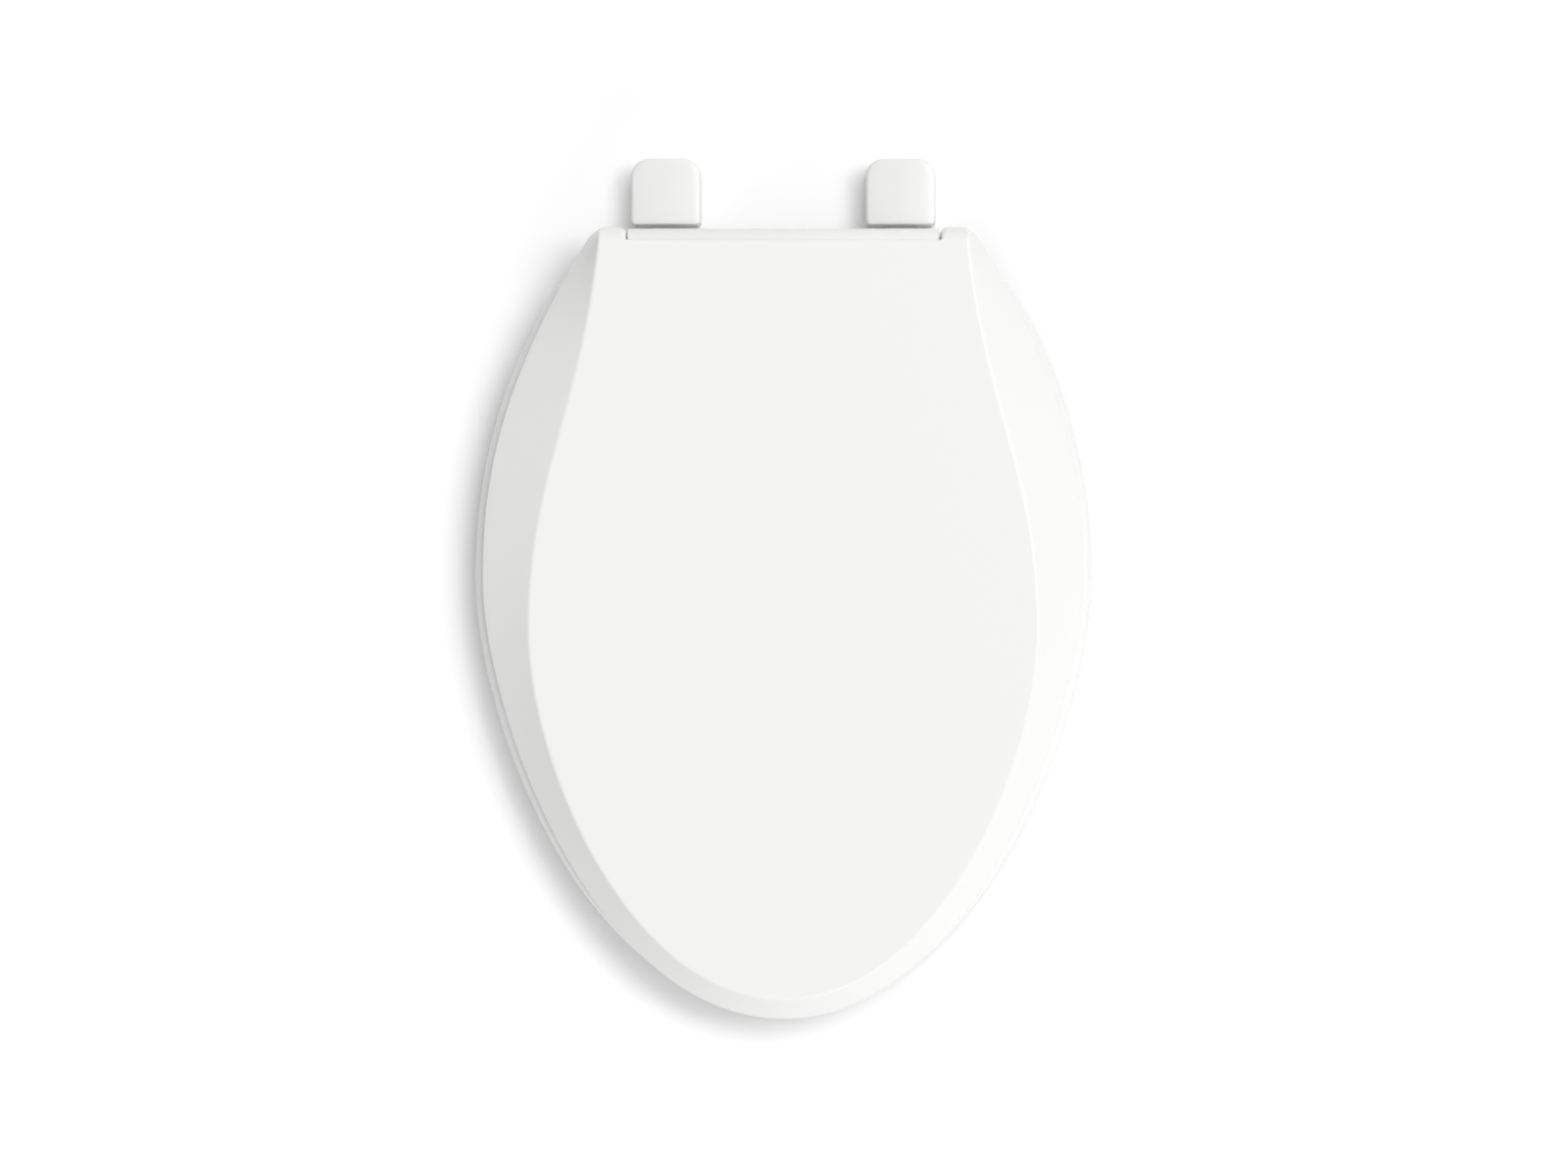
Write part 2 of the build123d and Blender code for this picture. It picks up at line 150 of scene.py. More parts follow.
class LidSizes(bpy.types.PropertyGroup):
    """Edges and walls of the lid moulding."""

    skin: FloatProperty(
        name="Skin", description="Thickness of the top and the bevel", default=3.0 * MM, unit="LENGTH"
    )
    rim_edge: FloatProperty(
        name="Rim edge", description="Upright part of the rim below the bevel",
        default=3.5 * MM, unit="LENGTH"
    )
    rim_ease: FloatProperty(
        name="Rim ease", description="Radius at the rim's lower edges", default=0.5 * MM, unit="LENGTH"
    )
    foot_soft: FloatProperty(
        name="Bevel foot", description="Run over which the rim turns into the bevel",
        default=0.7 * MM, unit="LENGTH"
    )
    crest_soft: FloatProperty(
        name="Bevel crest", description="Run over which the bevel turns into the top",
        default=1.3 * MM, unit="LENGTH"
    )
    rear_round: FloatProperty(
        name="Ear round", description="Radius over the rear of the ears",
        default=8.0 * MM, unit="LENGTH"
    )
    notch_depth: FloatProperty(
        name="Notch depth", description="Depth of the rear notch between the ears",
        default=8.0 * MM, unit="LENGTH"
    )
    notch_half_width: FloatProperty(
        name="Notch half width", description="Half the width between the ears",
        default=92.7 * MM, unit="LENGTH"
    )
    notch_ease: FloatProperty(
        name="Notch ease", description="Radius along the notch's upper edge",
        default=0.7 * MM, unit="LENGTH"
    )
    ear_chamfer: FloatProperty(
        name="Ear chamfer", description="Cut at the ears' inner corners",
        default=2.6 * MM, unit="LENGTH"
    )
    ear_round: FloatProperty(
        name="Ear side", description="Radius over the ears' inner edges at the rear",
        default=3.4 * MM, unit="LENGTH"
    )


class RingSizes(bpy.types.PropertyGroup):
    """Section of the seat ring and its hinge rail."""

    outer_round: FloatProperty(
        name="Outer round", description="Radius of the ring's outer upper edge",
        default=7.0 * MM, unit="LENGTH"
    )
    inner_round: FloatProperty(
        name="Inner round", description="Radius of the opening's upper edge",
        default=12.0 * MM, unit="LENGTH"
    )
    outer_wall: FloatProperty(
        name="Outer wall", description="Wall outside the underside groove",
        default=4.0 * MM, unit="LENGTH"
    )
    inner_wall: FloatProperty(
        name="Inner wall", description="Wall inside the underside groove",
        default=7.5 * MM, unit="LENGTH"
    )
    roof: FloatProperty(
        name="Roof", description="Thickness above the underside groove", default=4.0 * MM, unit="LENGTH"
    )
    ease: FloatProperty(
        name="Edge ease", description="Radius at the lower edges", default=0.8 * MM, unit="LENGTH"
    )
    barrel_radius: FloatProperty(
        name="Barrel", description="Radius of the hinge barrel", default=8.5 * MM, unit="LENGTH"
    )
    bore_radius: FloatProperty(
        name="Barrel bore", description="Radius inside the hinge barrel",
        default=6.6 * MM, unit="LENGTH"
    )
    bridge: FloatProperty(
        name="Bridge", description="Thickness of the plate from ring to barrel",
        default=4.0 * MM, unit="LENGTH"
    )


class CapSizes(bpy.types.PropertyGroup):
    """Hinge caps."""

    edge: FloatProperty(
        name="Top edge", description="Radius round the cap's top", default=2.0 * MM, unit="LENGTH"
    )
    crown: FloatProperty(
        name="Crown", description="Rise of the cap's top across its width",
        default=2.2 * MM, unit="LENGTH"
    )
    front_share: FloatProperty(
        name="Front edge", description="Run of the top edge at the front, as a share of that at the sides",
        default=0.15, subtype="FACTOR"
    )
    cheek: FloatProperty(
        name="Cheek", description="Front wall left beside the opening for the neck",
        default=2.7 * MM, unit="LENGTH"
    )
    slot_height: FloatProperty(
        name="Opening", description="Height of the front opening above the deck",
        default=10.0 * MM, unit="LENGTH"
    )
    wall: FloatProperty(
        name="Wall", description="Thickness of the cap", default=2.0 * MM, unit="LENGTH"
    )
    rear_corner: FloatProperty(
        name="Rear corners", description="Radius of the rear corners in plan",
        default=11.3 * MM, unit="LENGTH"
    )
    front_corner: FloatProperty(
        name="Front corners", description="Radius of the front corners in plan",
        default=2.2 * MM, unit="LENGTH"
    )


class BumperSizes(bpy.types.PropertyGroup):
    """Rubber bumpers under the ring and the lid."""

    seat_length: FloatProperty(
        name="Seat bumper length", description="Length of a bumper under the ring",
        default=26.0 * MM, unit="LENGTH"
    )
    seat_width: FloatProperty(
        name="Seat bumper width", description="Width of a bumper under the ring",
        default=15.0 * MM, unit="LENGTH"
    )
    lid_length: FloatProperty(
        name="Lid bumper length", description="Length of a bumper under the lid",
        default=20.0 * MM, unit="LENGTH"
    )
    lid_width: FloatProperty(
        name="Lid bumper width", description="Width of a bumper under the lid",
        default=11.0 * MM, unit="LENGTH"
    )


class FinishSettings(bpy.types.PropertyGroup):
    """Colours and gloss of the materials."""

    seat_colour: FloatVectorProperty(
        name="Seat plastic", description="Lid, ring and caps",
        default=(0.86, 0.86, 0.86), subtype="COLOR", size=3
    )
    seat_roughness: FloatProperty(
        name="Seat roughness", description="How dull the seat plastic is",
        default=0.34, subtype="FACTOR"
    )
    post_colour: FloatVectorProperty(
        name="Post plastic", description="Hinge posts",
        default=(0.72, 0.72, 0.71), subtype="COLOR", size=3
    )
    pin_colour: FloatVectorProperty(
        name="Pin steel", description="Hinge pins", default=(0.58, 0.58, 0.59), subtype="COLOR", size=3
    )
    pad_colour: FloatVectorProperty(
        name="Pad rubber", description="Pads under the posts",
        default=(0.09, 0.09, 0.095), subtype="COLOR", size=3
    )
    bumper_colour: FloatVectorProperty(
        name="Bumper rubber", description="Bumpers",
        default=(0.60, 0.60, 0.585), subtype="COLOR", size=3
    )


class StageSettings(bpy.types.PropertyGroup):
    """Floor, lamps and camera."""

    floor_colour: FloatVectorProperty(
        name="Floor", description="Colour of the floor",
        default=(0.94, 0.94, 0.94), subtype="COLOR", size=3
    )
    floor_glow: FloatProperty(
        name="Floor glow", description="How much whiter the floor is where it is seen",
        default=0.095, subtype="FACTOR"
    )
    zenith: FloatProperty(
        name="Zenith", description="Strength of the dome's light straight above", default=0.68
    )
    horizon: FloatProperty(
        name="Horizon", description="Strength of the dome's light level with the floor", default=0.1
    )
    key_power: FloatProperty(
        name="Key", description="Softbox high at the right", default=455.0, unit="POWER"
    )
    rear_power: FloatProperty(
        name="Rear", description="Softbox high at the rear and to the right",
        default=348.0, unit="POWER"
    )
    fill_power: FloatProperty(
        name="Fill", description="Softbox low at the front", default=525.0, unit="POWER"
    )
    camera_height: FloatProperty(
        name="Camera height", description="Height of the camera above the floor",
        default=2.233, unit="LENGTH"
    )
    lens: FloatProperty(
        name="Lens", description="Focal length in millimetres", default=85.3
    )


class ToiletSeatSettings(bpy.types.PropertyGroup):
    """All settings of the toilet seat."""

    lid: PointerProperty(name="Lid", description="Lid sizes", type=LidSizes)
    ring: PointerProperty(name="Ring", description="Ring sizes", type=RingSizes)
    cap: PointerProperty(name="Caps", description="Cap sizes", type=CapSizes)
    bumper: PointerProperty(name="Bumpers", description="Bumper sizes", type=BumperSizes)
    finish: PointerProperty(name="Finish", description="Materials", type=FinishSettings)
    stage: PointerProperty(name="Stage", description="Floor, lamps and camera", type=StageSettings)


# Curves


def bezier(a, b, c, d, count):
    """Points of a cubic curve: its four handles, weighted by the cubic Bernstein terms of t from 0 to 1."""
    t = np.linspace(0, 1, count)[:, None]
    a, b, c, d = (np.asarray(p, float) for p in (a, b, c, d))
    return (1 - t) ** 3 * a + 3 * (1 - t) ** 2 * t * b + 3 * (1 - t) * t**2 * c + t**3 * d


def half_curve(shape, inset=0.0, count=400):
    """Right half of an outline, from its front to its rear corner: two cubic curves, moved in by inset."""
    front = shape.front + inset
    wide = shape.half_width - inset
    rear_x = shape.rear_half_width - inset
    rear = shape.rear - inset
    fore = bezier(
        (0, front),
        (shape.front_pull, front),
        (wide, shape.widest - shape.fore_pull),
        (wide, shape.widest),
        count,
    )
    aft = bezier(
        (wide, shape.widest),
        (wide, shape.widest + shape.aft_pull),
        (rear_x + shape.lean_out, rear - shape.lean_ahead),
        (rear_x, rear),
        count,
    )
    return np.concatenate([fore, aft[1:]])


def along(path, shares):
    """Points of a polyline at these shares of its length."""
    run = np.concatenate([[0], np.cumsum(np.linalg.norm(np.diff(path, axis=0), axis=1))])
    at = np.asarray(shares) * run[-1]
    return np.stack([np.interp(at, run, path[:, k]) for k in range(path.shape[1])], -1)


def stations(shape, inset, rear, shares):
    """Points of an outline's right half from the line y = rear to its front, at shares of that length."""
    path = half_curve(shape, inset)[::-1]
    start = np.interp(-rear, -path[:, 1], path[:, 0])
    kept = np.concatenate([[[start, rear]], path[path[:, 1] < rear - MERGE]])
    return along(kept, shares)


def outline_half(shape, inset, shares):
    """Right half of a closed outline, front middle to rear middle: the curves, a tangent arc, the rear line.
    The arc's centre is the curve's point moved in by the radius, where that lies the radius off that line."""
    curve = half_curve(shape, inset)
    least = 1.0 * MM
    radius = max(shape.corner - inset, least)
    tangent = np.gradient(curve, axis=0)
    tangent /= np.linalg.norm(tangent, axis=1)[:, None]
    centres = curve + radius * np.stack([-tangent[:, 1], tangent[:, 0]], -1)
    tail = slice(len(curve) // 2, None)
    index = np.arange(len(curve))[tail]
    at = np.interp(shape.rear - inset - radius, centres[tail, 1], index)
    centre = np.array([np.interp(at, index, centres[tail, k]) for k in range(2)])
    touch = np.array([np.interp(at, index, curve[tail, k]) for k in range(2)])
    turn = np.linspace(atan2(*(touch - centre)[::-1]), pi / 2, 24)
    arc = centre + radius * np.stack([np.cos(turn), np.sin(turn)], -1)
    path = np.concatenate([curve[: int(at) + 1], arc, [[0, shape.rear - inset]]])
    return along(path, shares)


def opening_half(outset, shares):
    """Right half of the seat opening, front middle to rear middle: three tangent arcs, moved out by outset.
    An end arc's radius follows from the half width, the side arc's radius and the run to that end."""
    widest = OPENING_WIDEST
    wide = OPENING_HALF_WIDTH + outset
    side_r = OPENING_SIDE_RADIUS + outset
    runs = [widest - OPENING_FRONT + outset, OPENING_REAR - widest + outset]
    ends = [(2 * side_r * wide - wide**2 - run**2) / (2 * (side_r - run)) for run in runs]
    turns = [atan2(side_r - wide, run - end) for run, end in zip(runs, ends)]
    arcs = [
        ((0, widest - runs[0] + ends[0]), ends[0], -pi / 2, turns[0] - pi / 2),
        ((wide - side_r, widest), side_r, turns[0] - pi / 2, pi / 2 - turns[1]),
        ((0, widest + runs[1] - ends[1]), ends[1], pi / 2 - turns[1], pi / 2),
    ]
    points = [
        np.asarray(c) + r * np.stack([np.cos(a), np.sin(a)], -1)
        for c, r, a in ((c, r, np.linspace(start, end, 160)) for c, r, start, end in arcs)
    ]
    return along(np.concatenate([points[0], points[1][1:], points[2][1:]]), shares)


def both_halves(half):
    """A closed loop from its right half: the half, then its mirror image back to the start."""
    left = half[..., -2:0:-1, :] * np.array([-1, 1, 1][: half.shape[-1]])
    return np.concatenate([half, left], axis=-2)


def quarter(radius, steps):
    """A quarter round as pairs: distance in from the side and rise towards the top, side first."""
    turn = np.linspace(0, pi / 2, steps)
    return radius * (1 - np.cos(turn)), radius * np.sin(turn)


def plan_loop(box, corners, inset, front_inset, spans, steps=9):
    """A rounded rectangle in plan, moved in by its insets: straight runs at given shares, and quarter arcs.
    box is the low and high x and y, and corners are the radii at the front and at the rear."""
    (x0, x1), (y0, y1) = box
    least = 0.2 * MM
    x0, x1, y0, y1 = x0 + inset, x1 - inset, y0 + front_inset, y1 - inset
    front_r, rear_r = (max(r - i, least) for r, i in zip(corners, (front_inset, inset)))
    turn = np.linspace(-pi / 2, 0, steps)
    unit = np.stack([np.cos(turn), np.sin(turn)], -1)
    spin = np.array([[0, 1], [-1, 0]])
    arcs = [
        np.array([x1 - front_r, y0 + front_r]) + front_r * unit,
        np.array([x1 - rear_r, y1 - rear_r]) + rear_r * unit @ spin,
        np.array([x0 + rear_r, y1 - rear_r]) + rear_r * unit @ spin @ spin,
        np.array([x0 + front_r, y0 + front_r]) + front_r * unit @ spin @ spin @ spin,
    ]
    starts = [arcs[3][-1], arcs[0][-1], arcs[1][-1], arcs[2][-1]]
    runs = [
        start + np.asarray(share)[:, None] * (arc[0] - start)
        for start, arc, share in zip(starts, arcs, spans)
    ]
    return np.concatenate([part for pair in zip(runs, arcs) for part in pair])


# Meshes


class Moulding:
    """Gathers patches of a surface and makes one mesh of them."""

    def __init__(self):
        self.points = []
        self.faces = []
        self.count = 0

    def grid(self, surface, wrap_rows=False, wrap_columns=False):
        """Adds a grid of points, rows by columns, as quads; a wrapped direction closes on its start."""
        rows, columns = surface.shape[:2]
        r0, c0 = np.meshgrid(
            np.arange(rows - (not wrap_rows)), np.arange(columns - (not wrap_columns)), indexing="ij"
        )
        r1, c1 = (r0 + 1) % rows, (c0 + 1) % columns
        quads = np.stack([r0 * columns + c0, r0 * columns + c1, r1 * columns + c1, r1 * columns + c0], -1)
        self.faces += (quads.reshape(-1, 4) + self.count).tolist()
        self.points.append(surface.reshape(-1, 3))
        self.count += rows * columns

    def disc(self, loop):
        """Adds one face bounded by a loop of points."""
        self.faces.append(list(range(self.count, self.count + len(loop))))
        self.points.append(loop)
        self.count += len(loop)

    def pair(self, add):
        """Adds patches on the right and their mirror images on the left."""
        for side in (1, -1):
            part = Moulding()
            add(part)
            self.faces += [[i + self.count for i in face] for face in part.faces]
            self.points += [points * np.array([side, 1, 1]) for points in part.points]
            self.count += part.count

    def mesh(self, name, sharp=34.0):
        """One mesh: doubles merged, normals outward, smooth but for edges sharper than the given angle."""
        mesh = bpy.data.meshes.new(name)
        mesh.from_pydata(np.concatenate(self.points).tolist(), [], self.faces)
        work = bmesh.new()
        work.from_mesh(mesh)
        bmesh.ops.remove_doubles(work, verts=work.verts, dist=MERGE)
        bmesh.ops.dissolve_degenerate(work, edges=work.edges, dist=MERGE)
        bmesh.ops.recalc_face_normals(work, faces=work.faces)
        work.to_mesh(mesh)
        work.free()
        mesh.polygons.foreach_set("use_smooth", np.ones(len(mesh.polygons), bool))
        mesh.set_sharp_from_angle(angle=radians(sharp))
        mesh.update()
        return mesh


def extruded(moulding, profile, start, end, ease):
    """A profile in the YZ plane carried along X from start to end, its edges eased at both ends.
    Near an end each point moves in along the profile's normal, by a quarter round of the ease."""
    ahead, behind = np.roll(profile, -1, axis=0), np.roll(profile, 1, axis=0)
    tangent = ahead - behind
    normal = np.stack([-tangent[:, 1], tangent[:, 0]], -1) / np.linalg.norm(tangent, axis=1)[:, None]
    area = np.sum(profile[:, 0] * ahead[:, 1] - ahead[:, 0] * profile[:, 1])
    inset, rise = quarter(ease, 4)
    shift = np.concatenate([ease - rise, (ease - rise)[::-1]])
    x = np.concatenate([start + inset, end - inset[::-1]])
    yz = profile[None] + np.sign(area) * shift[:, None, None] * normal[None]
    surface = np.concatenate([np.broadcast_to(x[:, None, None], yz.shape[:2] + (1,)), yz], -1)
    moulding.grid(surface, wrap_columns=True)
    moulding.disc(surface[0])
    moulding.disc(surface[-1])


def slab(moulding, place, turn, size, low, high, corner, ease_low, ease_high):
    """An upright block with rounded corners and eased edges, turned about Z at a place.
    Rows run from the middle of its base, out and up its side, to the middle of its top."""
    length, width = size
    even = np.linspace(0, 1, 5)[1:-1]
    box = ((-length / 2, length / 2), (-width / 2, width / 2))
    low_in, low_rise = quarter(ease_low, 5)
    high_in, high_rise = quarter(ease_high, 5)
    insets = np.concatenate([low_in[::-1], high_in])
    heights = np.concatenate([low + ease_low - low_rise[::-1], high - ease_high + high_rise])
    loops = np.stack([plan_loop(box, (corner, corner), inset, inset, [even] * 4, 6) for inset in insets])
    shrink = np.array([0.0, 0.5])[:, None, None]
    loops = np.concatenate([loops[0] * shrink, loops, loops[-1] * shrink[::-1]])
    heights = np.concatenate([[low, low], heights, [high, high]])
    spin = np.array([[cos(turn), sin(turn)], [-sin(turn), cos(turn)]])
    xy = loops @ spin + np.asarray(place)
    z = np.broadcast_to(heights[:, None, None], xy.shape[:2] + (1,))
    moulding.grid(np.concatenate([xy, z], -1), wrap_columns=True)


def finish_piece(moulding, node, body, material):
    """Shows a moulding in place of a CAD node, riding on its body."""
    mesh = moulding.mesh(f"{node}_moulded")
    mesh.materials.append(material)
    piece = bpy.data.objects.new(f"{node}_moulded", mesh)
    bpy.context.scene.collection.objects.link(piece)
    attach(piece, body)
    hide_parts(node)
    return piece


# Lid


def bevel_section(foot, crest, low, heel, high, ease, foot_soft, crest_soft):
    """The lid's section at each station, from the rim's lower edge up the bevel to the top.
    It runs round the eased edge, up the rim to its heel, along the straight bevel from foot to crest in plan,
    and level on. Both corners are parabolas that leave and meet the straights a soft run away. A negative
    ease turns the edge outwards, as on the inside."""
    run = crest - foot
    width = np.linalg.norm(run, axis=1)[:, None]
    rise = high - heel
    slope = np.hypot(width, rise)
    turn = np.linspace(0, pi / 2, 4)[None]
    edge_in = np.broadcast_to(ease * (1 - np.sin(turn)), (len(foot), 4))
    edge_z = np.broadcast_to(low + abs(ease) * (1 - np.cos(turn)), (len(foot), 4))
    t = np.linspace(0, 1, 6)[None]
    foot_in = t**2 * foot_soft * width / slope
    foot_z = heel - foot_soft * (1 - t) ** 2 + t**2 * foot_soft * rise / slope
    s = np.linspace(0, 1, 9)[None]
    crest_in = width - crest_soft * (1 - s) ** 2 * width / slope + crest_soft * s**2
    crest_z = high - crest_soft * (1 - s) ** 2 * rise / slope
    u = np.linspace(0, 1, 8)[None, 1:-1]
    bevel_in = foot_in[:, -1:] * (1 - u) + crest_in[:, :1] * u
    bevel_z = foot_z[:, -1:] * (1 - u) + crest_z[:, :1] * u
    inward = np.concatenate([edge_in, foot_in, bevel_in, crest_in], 1)
    z = np.concatenate([edge_z, foot_z, bevel_z, crest_z], 1)
    xy = foot[:, None] + (run / width)[:, None] * inward[..., None]
    return np.concatenate([xy, z[..., None]], -1)


def soft_least(a, b, blend):
    """The lesser of two heights, with the corner between them rounded over the blend."""
    h = np.clip(0.5 + 0.5 * (b - a) / np.maximum(blend, 1e-9), 0, 1)
    return b + (a - b) * h - blend * h * (1 - h)


class LidForm:
    """Works out the lid's surfaces from its sizes."""

    # Stations from the notch line to the nose, as shares of the way: some close to the notch, then even ones
    NEAR = (0.0, 0.0002, 0.0006, 0.0013, 0.0022)
    EVEN_FROM = 0.0042
    EVEN_COUNT = 210
    # Places across an ear as shares of its width, places across the notch, and rows from notch to rear
    EAR_SHARES = np.array([0.8, 0.6, 0.4, 0.22, 0.11])
    NOTCH_COUNT = 30
    EAR_ROWS = 14
    # Points at the end of an outline's curve that reach past the ears
    TAIL = 200
    # The inside: how far its crest is set in, its upright heel, and the runs that soften its foot and crest
    HOLLOW_IN = 1.2 * MM
    HOLLOW_HEEL = 2.0 * MM
    HOLLOW_FOOT = 1.2 * MM
    HOLLOW_CREST = 1.8 * MM
    # The ears' rear round: the width of its blend with the section, and the run over which that grows
    BLEND = 1.6 * MM
    BLEND_RUN = 3.0 * MM
    # Fittings inside: the hinge boss, the rib beside the notch, and the boss that holds a bumper
    HINGE_BOSS_RADIUS = 7.5 * MM
    HINGE_BOSS_IN = 0.3 * MM
    HINGE_BOSS_END = 106.7 * MM
    RIB_SIZE = (3.2 * MM, 19.0 * MM)
    RIB_IN = 1.65 * MM
    RIB_Y = -35.4 * MM
    BUMPER_BOSS_SIZE = (15.0 * MM, 8.0 * MM)
    BUMPER_BOSS_CORNER = 1.2 * MM
    FITTING_EASE = 0.6 * MM
    ROOT_EASE = 0.3 * MM
    ROOT = 1.0 * MM

    def __init__(self, sizes):
        self.s = sizes
        self.low, self.high = LID_LOW.z, LID_HIGH.z
        self.rear = LID_HIGH.y
        self.lip = self.rear - sizes.notch_depth
        self.roof = self.high - sizes.skin
        ease_in, ease_rise = quarter(sizes.notch_ease, 4)
        self.shares = np.concatenate([self.NEAR, np.linspace(self.EVEN_FROM, 1, self.EVEN_COUNT)])
        self.ease_x = ease_in[::-1]
        self.ease_drop = (sizes.notch_ease - ease_rise)[::-1]

    def across(self, reach):
        """Places across the top as shares of its half width, right to left, for a top of this reach at the
        rear: through the right ear, its eased edge, the notch's width and the left ear."""
        notch = self.s.notch_half_width
        ear = notch + self.EAR_SHARES * (reach - notch)
        edge = notch + self.ease_x[:-1]
        middle = np.linspace(notch, -notch, self.NOTCH_COUNT)
        right = np.concatenate([ear, edge])
        return np.concatenate([right, middle, -right[::-1]]) / reach

    def skin(self, foot, crest, low, heel, high, ease, foot_soft, crest_soft):
        """One side of the shell, stations by places from the right rim over to the left: the section, the
        level top straight across to the section's mirror image, and that image down again."""
        right = bevel_section(foot, crest, low, heel, high, ease, foot_soft, crest_soft)
        inner = right[:, -1]
        across = self.across(inner[0, 0])
        top = np.repeat(inner[:, None], len(across), 1)
        top[..., 0] *= across
        left = right[:, ::-1] * np.array([-1, 1, 1])
        return np.concatenate([right, top, left], 1)

    def outer_section(self, foot, crest):
        """What bevel_section needs for the outer skin over these stations of its foot and crest."""
        s = self.s
        heel = self.low + s.rim_edge
        return foot, crest, self.low, heel, self.high, s.rim_ease, s.foot_soft, s.crest_soft

    def shell(self, moulding):
        """Outer and inner skins from the notch line to the nose, joined round the rim and across the notch's
        lip, where the outer one falls by a quarter round of the notch's ease."""
        s = self.s
        foot = stations(RIM, 0, self.lip, self.shares)
        crest = stations(CREST, 0, self.lip, self.shares)
        outer = self.skin(*self.outer_section(foot, crest))
        gap = np.clip(s.notch_ease - (self.lip - outer[..., 1]), 0, s.notch_ease)
        drop = s.notch_ease - np.sqrt(s.notch_ease**2 - gap**2)
        self.side = int(np.argmin(np.abs(outer[0, : outer.shape[1] // 2, 0] - s.notch_half_width)))
        across = slice(self.side, outer.shape[1] - self.side)
        outer[:, across, 2] -= drop[:, across]
        foot = stations(RIM, s.skin, self.lip, self.shares)
        hollow = CREST._replace(rear=CREST.rear - s.skin + self.HOLLOW_IN)
        crest = stations(hollow, self.HOLLOW_IN, self.lip, self.shares)
        heel = self.low + self.HOLLOW_HEEL
        inner = self.skin(
            foot, crest, self.low, heel, self.roof, -s.rim_ease, self.HOLLOW_FOOT, self.HOLLOW_CREST
        )
        moulding.grid(np.concatenate([outer, inner[:, ::-1]], 1), wrap_columns=True)
        lip = np.linspace(0, 1, 3)[:, None, None]
        moulding.grid(outer[None, 0, across] * (1 - lip) + inner[None, 0, across] * lip)
        self.outer_end, self.inner_end = outer[0], inner[0]

    def ear_skin(self, y):
        """The right ear's skin at these y, and the x of its notch side: the section carried on to the rear and
        cut down to the rear round. The notch side is chamfered at the rear, and the round over it swells from
        the notch's ease to its own radius with the square root of the way to the rear."""
        s = self.s
        turned = np.clip(y - self.rear + RIM.corner, 0, None)
        cut = RIM.corner - np.sqrt(np.clip(RIM.corner**2 - turned**2, 0, None))
        ends = []
        for shape in (RIM, CREST):
            tail = half_curve(shape)[-self.TAIL :]
            ends.append(np.stack([np.interp(y, tail[:, 1], tail[:, 0]) - cut, y], -1))
        section = bevel_section(*self.outer_section(*ends))
        inner = section[:, -1:]
        ease = s.notch_ease
        side = s.notch_half_width + np.clip(y - self.rear + s.ear_chamfer, 0, None)[:, None]
        swell = (ease + (s.ear_round - ease) * np.sqrt((y - self.lip) / s.notch_depth))[:, None]
        reach = inner[0, 0, 0]
        out = self.across(reach)[: self.side + 1 - section.shape[1]] * reach - s.notch_half_width
        level = swell + (out - ease) * (inner[..., 0] - side - swell) / (reach - side[0] - ease)
        top = np.repeat(inner, len(out), 1)
        top[..., 0] = side + np.where(out < ease, out * swell / ease, level)
        skin = np.concatenate([section, top], 1)
        fall = s.rear_round - np.sqrt(np.clip(s.rear_round**2 - (y - self.lip) ** 2, 0, None))
        blend = self.BLEND * np.clip((y - self.lip) / self.BLEND_RUN, 0, 1)
        skin[..., 2] = soft_least(skin[..., 2], (self.high - fall)[:, None], blend[:, None])
        skin[:, -len(self.ease_drop) :, 2] -= self.ease_drop * swell / ease
        skin[0] = self.outer_end[: self.side + 1]
        return skin, side

    def ear(self, moulding):
        """The right ear, from the notch line back: its skin, the walls from that down to the base at the rear
        and the notch side, the web that closes it off from the lid's inside, and the base between them."""
        y = self.lip + self.s.notch_depth * np.sin(np.linspace(0, pi / 2, self.EAR_ROWS))
        skin, side = self.ear_skin(y)
        moulding.grid(skin)
        top_z, web_z = skin[0, -1, 2], self.inner_end[self.side, 2]
        upper = (top_z - web_z) / (top_z - self.low)
        steps = np.linspace(0, 1, 5)
        walls = np.concatenate([[0, upper / 2], upper + (1 - upper) * steps])[:, None]
        moulding.grid(self.dropped(skin[-1], walls))
        moulding.grid(self.dropped(skin[:, -1], walls))
        web = self.inner_end[: self.side + 1]
        moulding.grid(self.dropped(web, steps[:, None]))
        front = np.concatenate([skin[0, :1, 0], web[:, 0]])
        back = np.concatenate([skin[-1, :1, 0], skin[-1, :, 0]])
        front = (front - side[0]) / (front[0] - side[0])
        back = (back - side[-1]) / (back[0] - side[-1])
        way = ((y - y[0]) / (y[-1] - y[0]))[:, None] ** 2
        x = side + (front * (1 - way) + back * way) * (skin[:, :1, 0] - side)
        moulding.grid(np.stack([x, np.broadcast_to(y[:, None], x.shape), np.full_like(x, self.low)], -1))

    def dropped(self, edge, shares):
        """A wall from an edge straight down to the rim's level, its heights at these shares of the way."""
        wall = np.repeat(edge[None], len(shares), 0)
        wall[..., 2] += shares * (self.low - edge[:, 2])
        return wall

